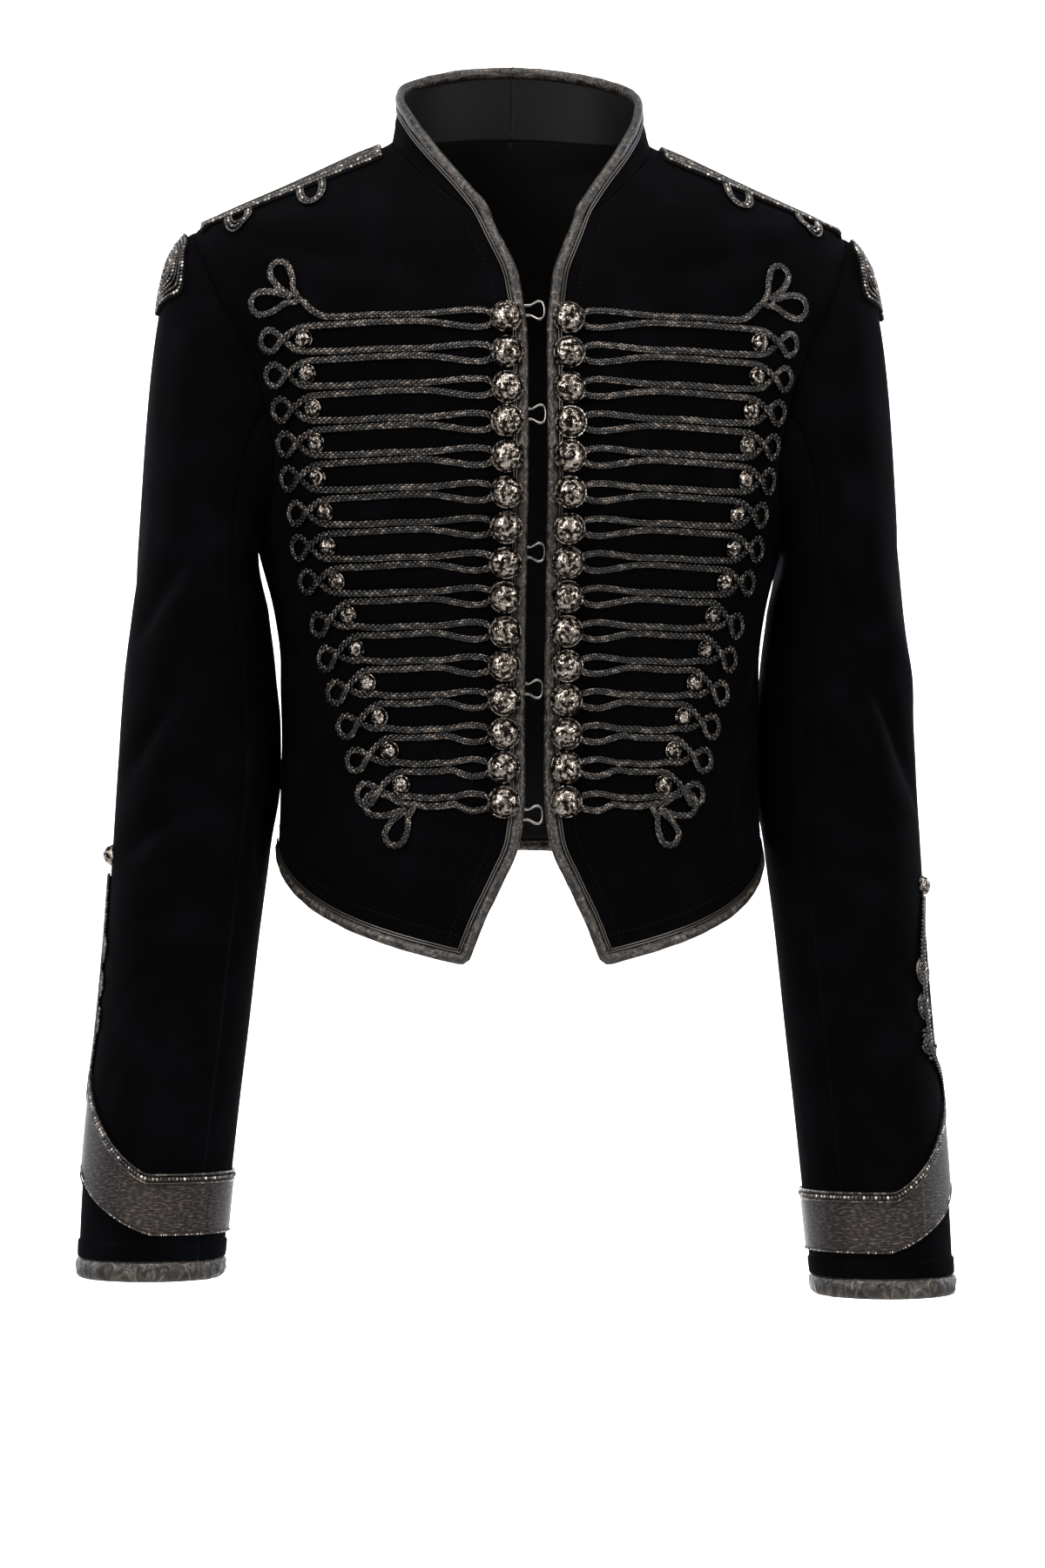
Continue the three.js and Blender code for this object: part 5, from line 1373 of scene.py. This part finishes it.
# Hooks and eyes behind the fronts' edges: half of one's wire, by x, out and up
HOOK_HALF = [
    (-10, -5.25, 2.4), (-6, -4.9, 2.8), (-3, -4.6, 3), (0, -3.6, 4.6), (1.6, -3.2, 5), (3.6, -2.9, 4.2),
    (4.4, -2.8, 1.8), (4.5, -2.8, 0),
]
for number, height in enumerate(HOOKS, 1):
    path = HOOK_HALF + [(x, out, -up) for x, out, up in reversed(HOOK_HALF[:-1])]
    places = np.array([(x, float(body_base(0, height + up)[1]) - out, height + up) for x, out, up in path])
    values = spline(places, 5)
    deselect()
    curve = bpy.data.curves.new(f"hook_{number}_line", "CURVE")
    curve.dimensions = "3D"
    curve.bevel_depth = 0.72 * MM
    curve.bevel_resolution = 2
    line = curve.splines.new("POLY")
    line.points.add(len(values) - 1)
    line.points.foreach_set("co", np.append(values * MM, np.ones((len(values), 1)), axis=1).ravel())
    wire = bpy.data.objects.new(f"hook_{number}_wire", curve)
    bpy.context.collection.objects.link(wire)
    wire.select_set(True)
    bpy.context.view_layer.objects.active = wire
    bpy.ops.object.convert(target="MESH")
    bpy.ops.object.shade_smooth()
    wire.data.materials.append(WIRE)
    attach(wire, "root")
    keep(wire, "wire", f"hook_{number}")


# The picture: a pale floor and backdrop, soft lamps and the camera at the photograph's angle
def stage_material(name, color):
    material, tree, shader = new_material(name, color, 0.9)
    paper = noise(tree, 60, detail=2.0).outputs["Fac"]
    bump(tree, shader, paper, 0.2, 0.1)
    return material


deselect()
FLOOR_Z = -2.05
WALL_Y = 6.5
bpy.ops.mesh.primitive_plane_add(size=24, location=(0, 0, FLOOR_Z))
floor = bpy.context.object
floor.name = "studio_floor"
floor.data.materials.append(stage_material("pale_floor", "#f4f4f3"))
deselect()
bpy.ops.mesh.primitive_plane_add(size=24, location=(0, WALL_Y, 0), rotation=(math.pi / 2, 0, 0))
wall = bpy.context.object
wall.name = "studio_wall"
wall.data.materials.append(stage_material("pale_wall", "#f7f7f6"))


def area_lamp(name, place, target, size, watts, color="#ffffff"):
    lamp = bpy.data.lights.new(name, "AREA")
    lamp.shape = "RECTANGLE"
    lamp.size, lamp.size_y = size
    lamp.energy = watts
    lamp.color = linear(color)[:3]
    holder = bpy.data.objects.new(name, lamp)
    holder.location = place
    holder.rotation_euler = (Vector(target) - Vector(place)).to_track_quat("-Z", "Y").to_euler()
    bpy.context.collection.objects.link(holder)


area_lamp("key", (-1.9, -2.2, 0.9), (0, 0, -0.3), (1.2, 1.6), 75)
area_lamp("fill", (2.1, -2.0, 0.3), (0, 0, -0.35), (1.2, 1.8), 48)
area_lamp("top", (0, -0.4, 1.7), (0, 0, -0.2), (1.6, 1.2), 34)
area_lamp("rim_left", (-1.7, 0.9, 0.2), (-0.1, 0, -0.35), (0.5, 1.6), 15, "#e4ecff")
area_lamp("rim_right", (1.7, 0.9, 0.2), (0.1, 0, -0.35), (0.5, 1.6), 15, "#e4ecff")
area_lamp("wall_wash", (0, 4.3, 1.9), (0, WALL_Y, -0.3), (4.5, 1.0), 230)
area_lamp("wall_foot", (0, 4.5, -1.9), (0, WALL_Y, -1.1), (4.5, 0.6), 110)

world = bpy.data.worlds.new("studio")
bpy.context.scene.world = world
world.use_nodes = True
world.node_tree.nodes["Background"].inputs["Color"].default_value = linear("#f2f3f5")
world.node_tree.nodes["Background"].inputs["Strength"].default_value = 0.45

CAMERA = {"azimuth": -5.0, "height": -0.3675, "distance": 3.0, "lens": 120, "target_x": 0.0015}
turn = math.radians(CAMERA["azimuth"])
camera_data = bpy.data.cameras.new("camera")
camera_data.lens = CAMERA["lens"]
camera_data.sensor_fit = "VERTICAL"
camera_data.sensor_height = 36
camera = bpy.data.objects.new("camera", camera_data)
away = Vector((math.sin(turn), -math.cos(turn), 0))
target = Vector((CAMERA["target_x"], 0, CAMERA["height"]))
camera.location = target + away * CAMERA["distance"]
camera.rotation_euler = away.to_track_quat("Z", "Y").to_euler()
bpy.context.collection.objects.link(camera)
scene = bpy.context.scene
scene.camera = camera
scene.view_settings.view_transform = "Standard"
scene.view_settings.look = "None"
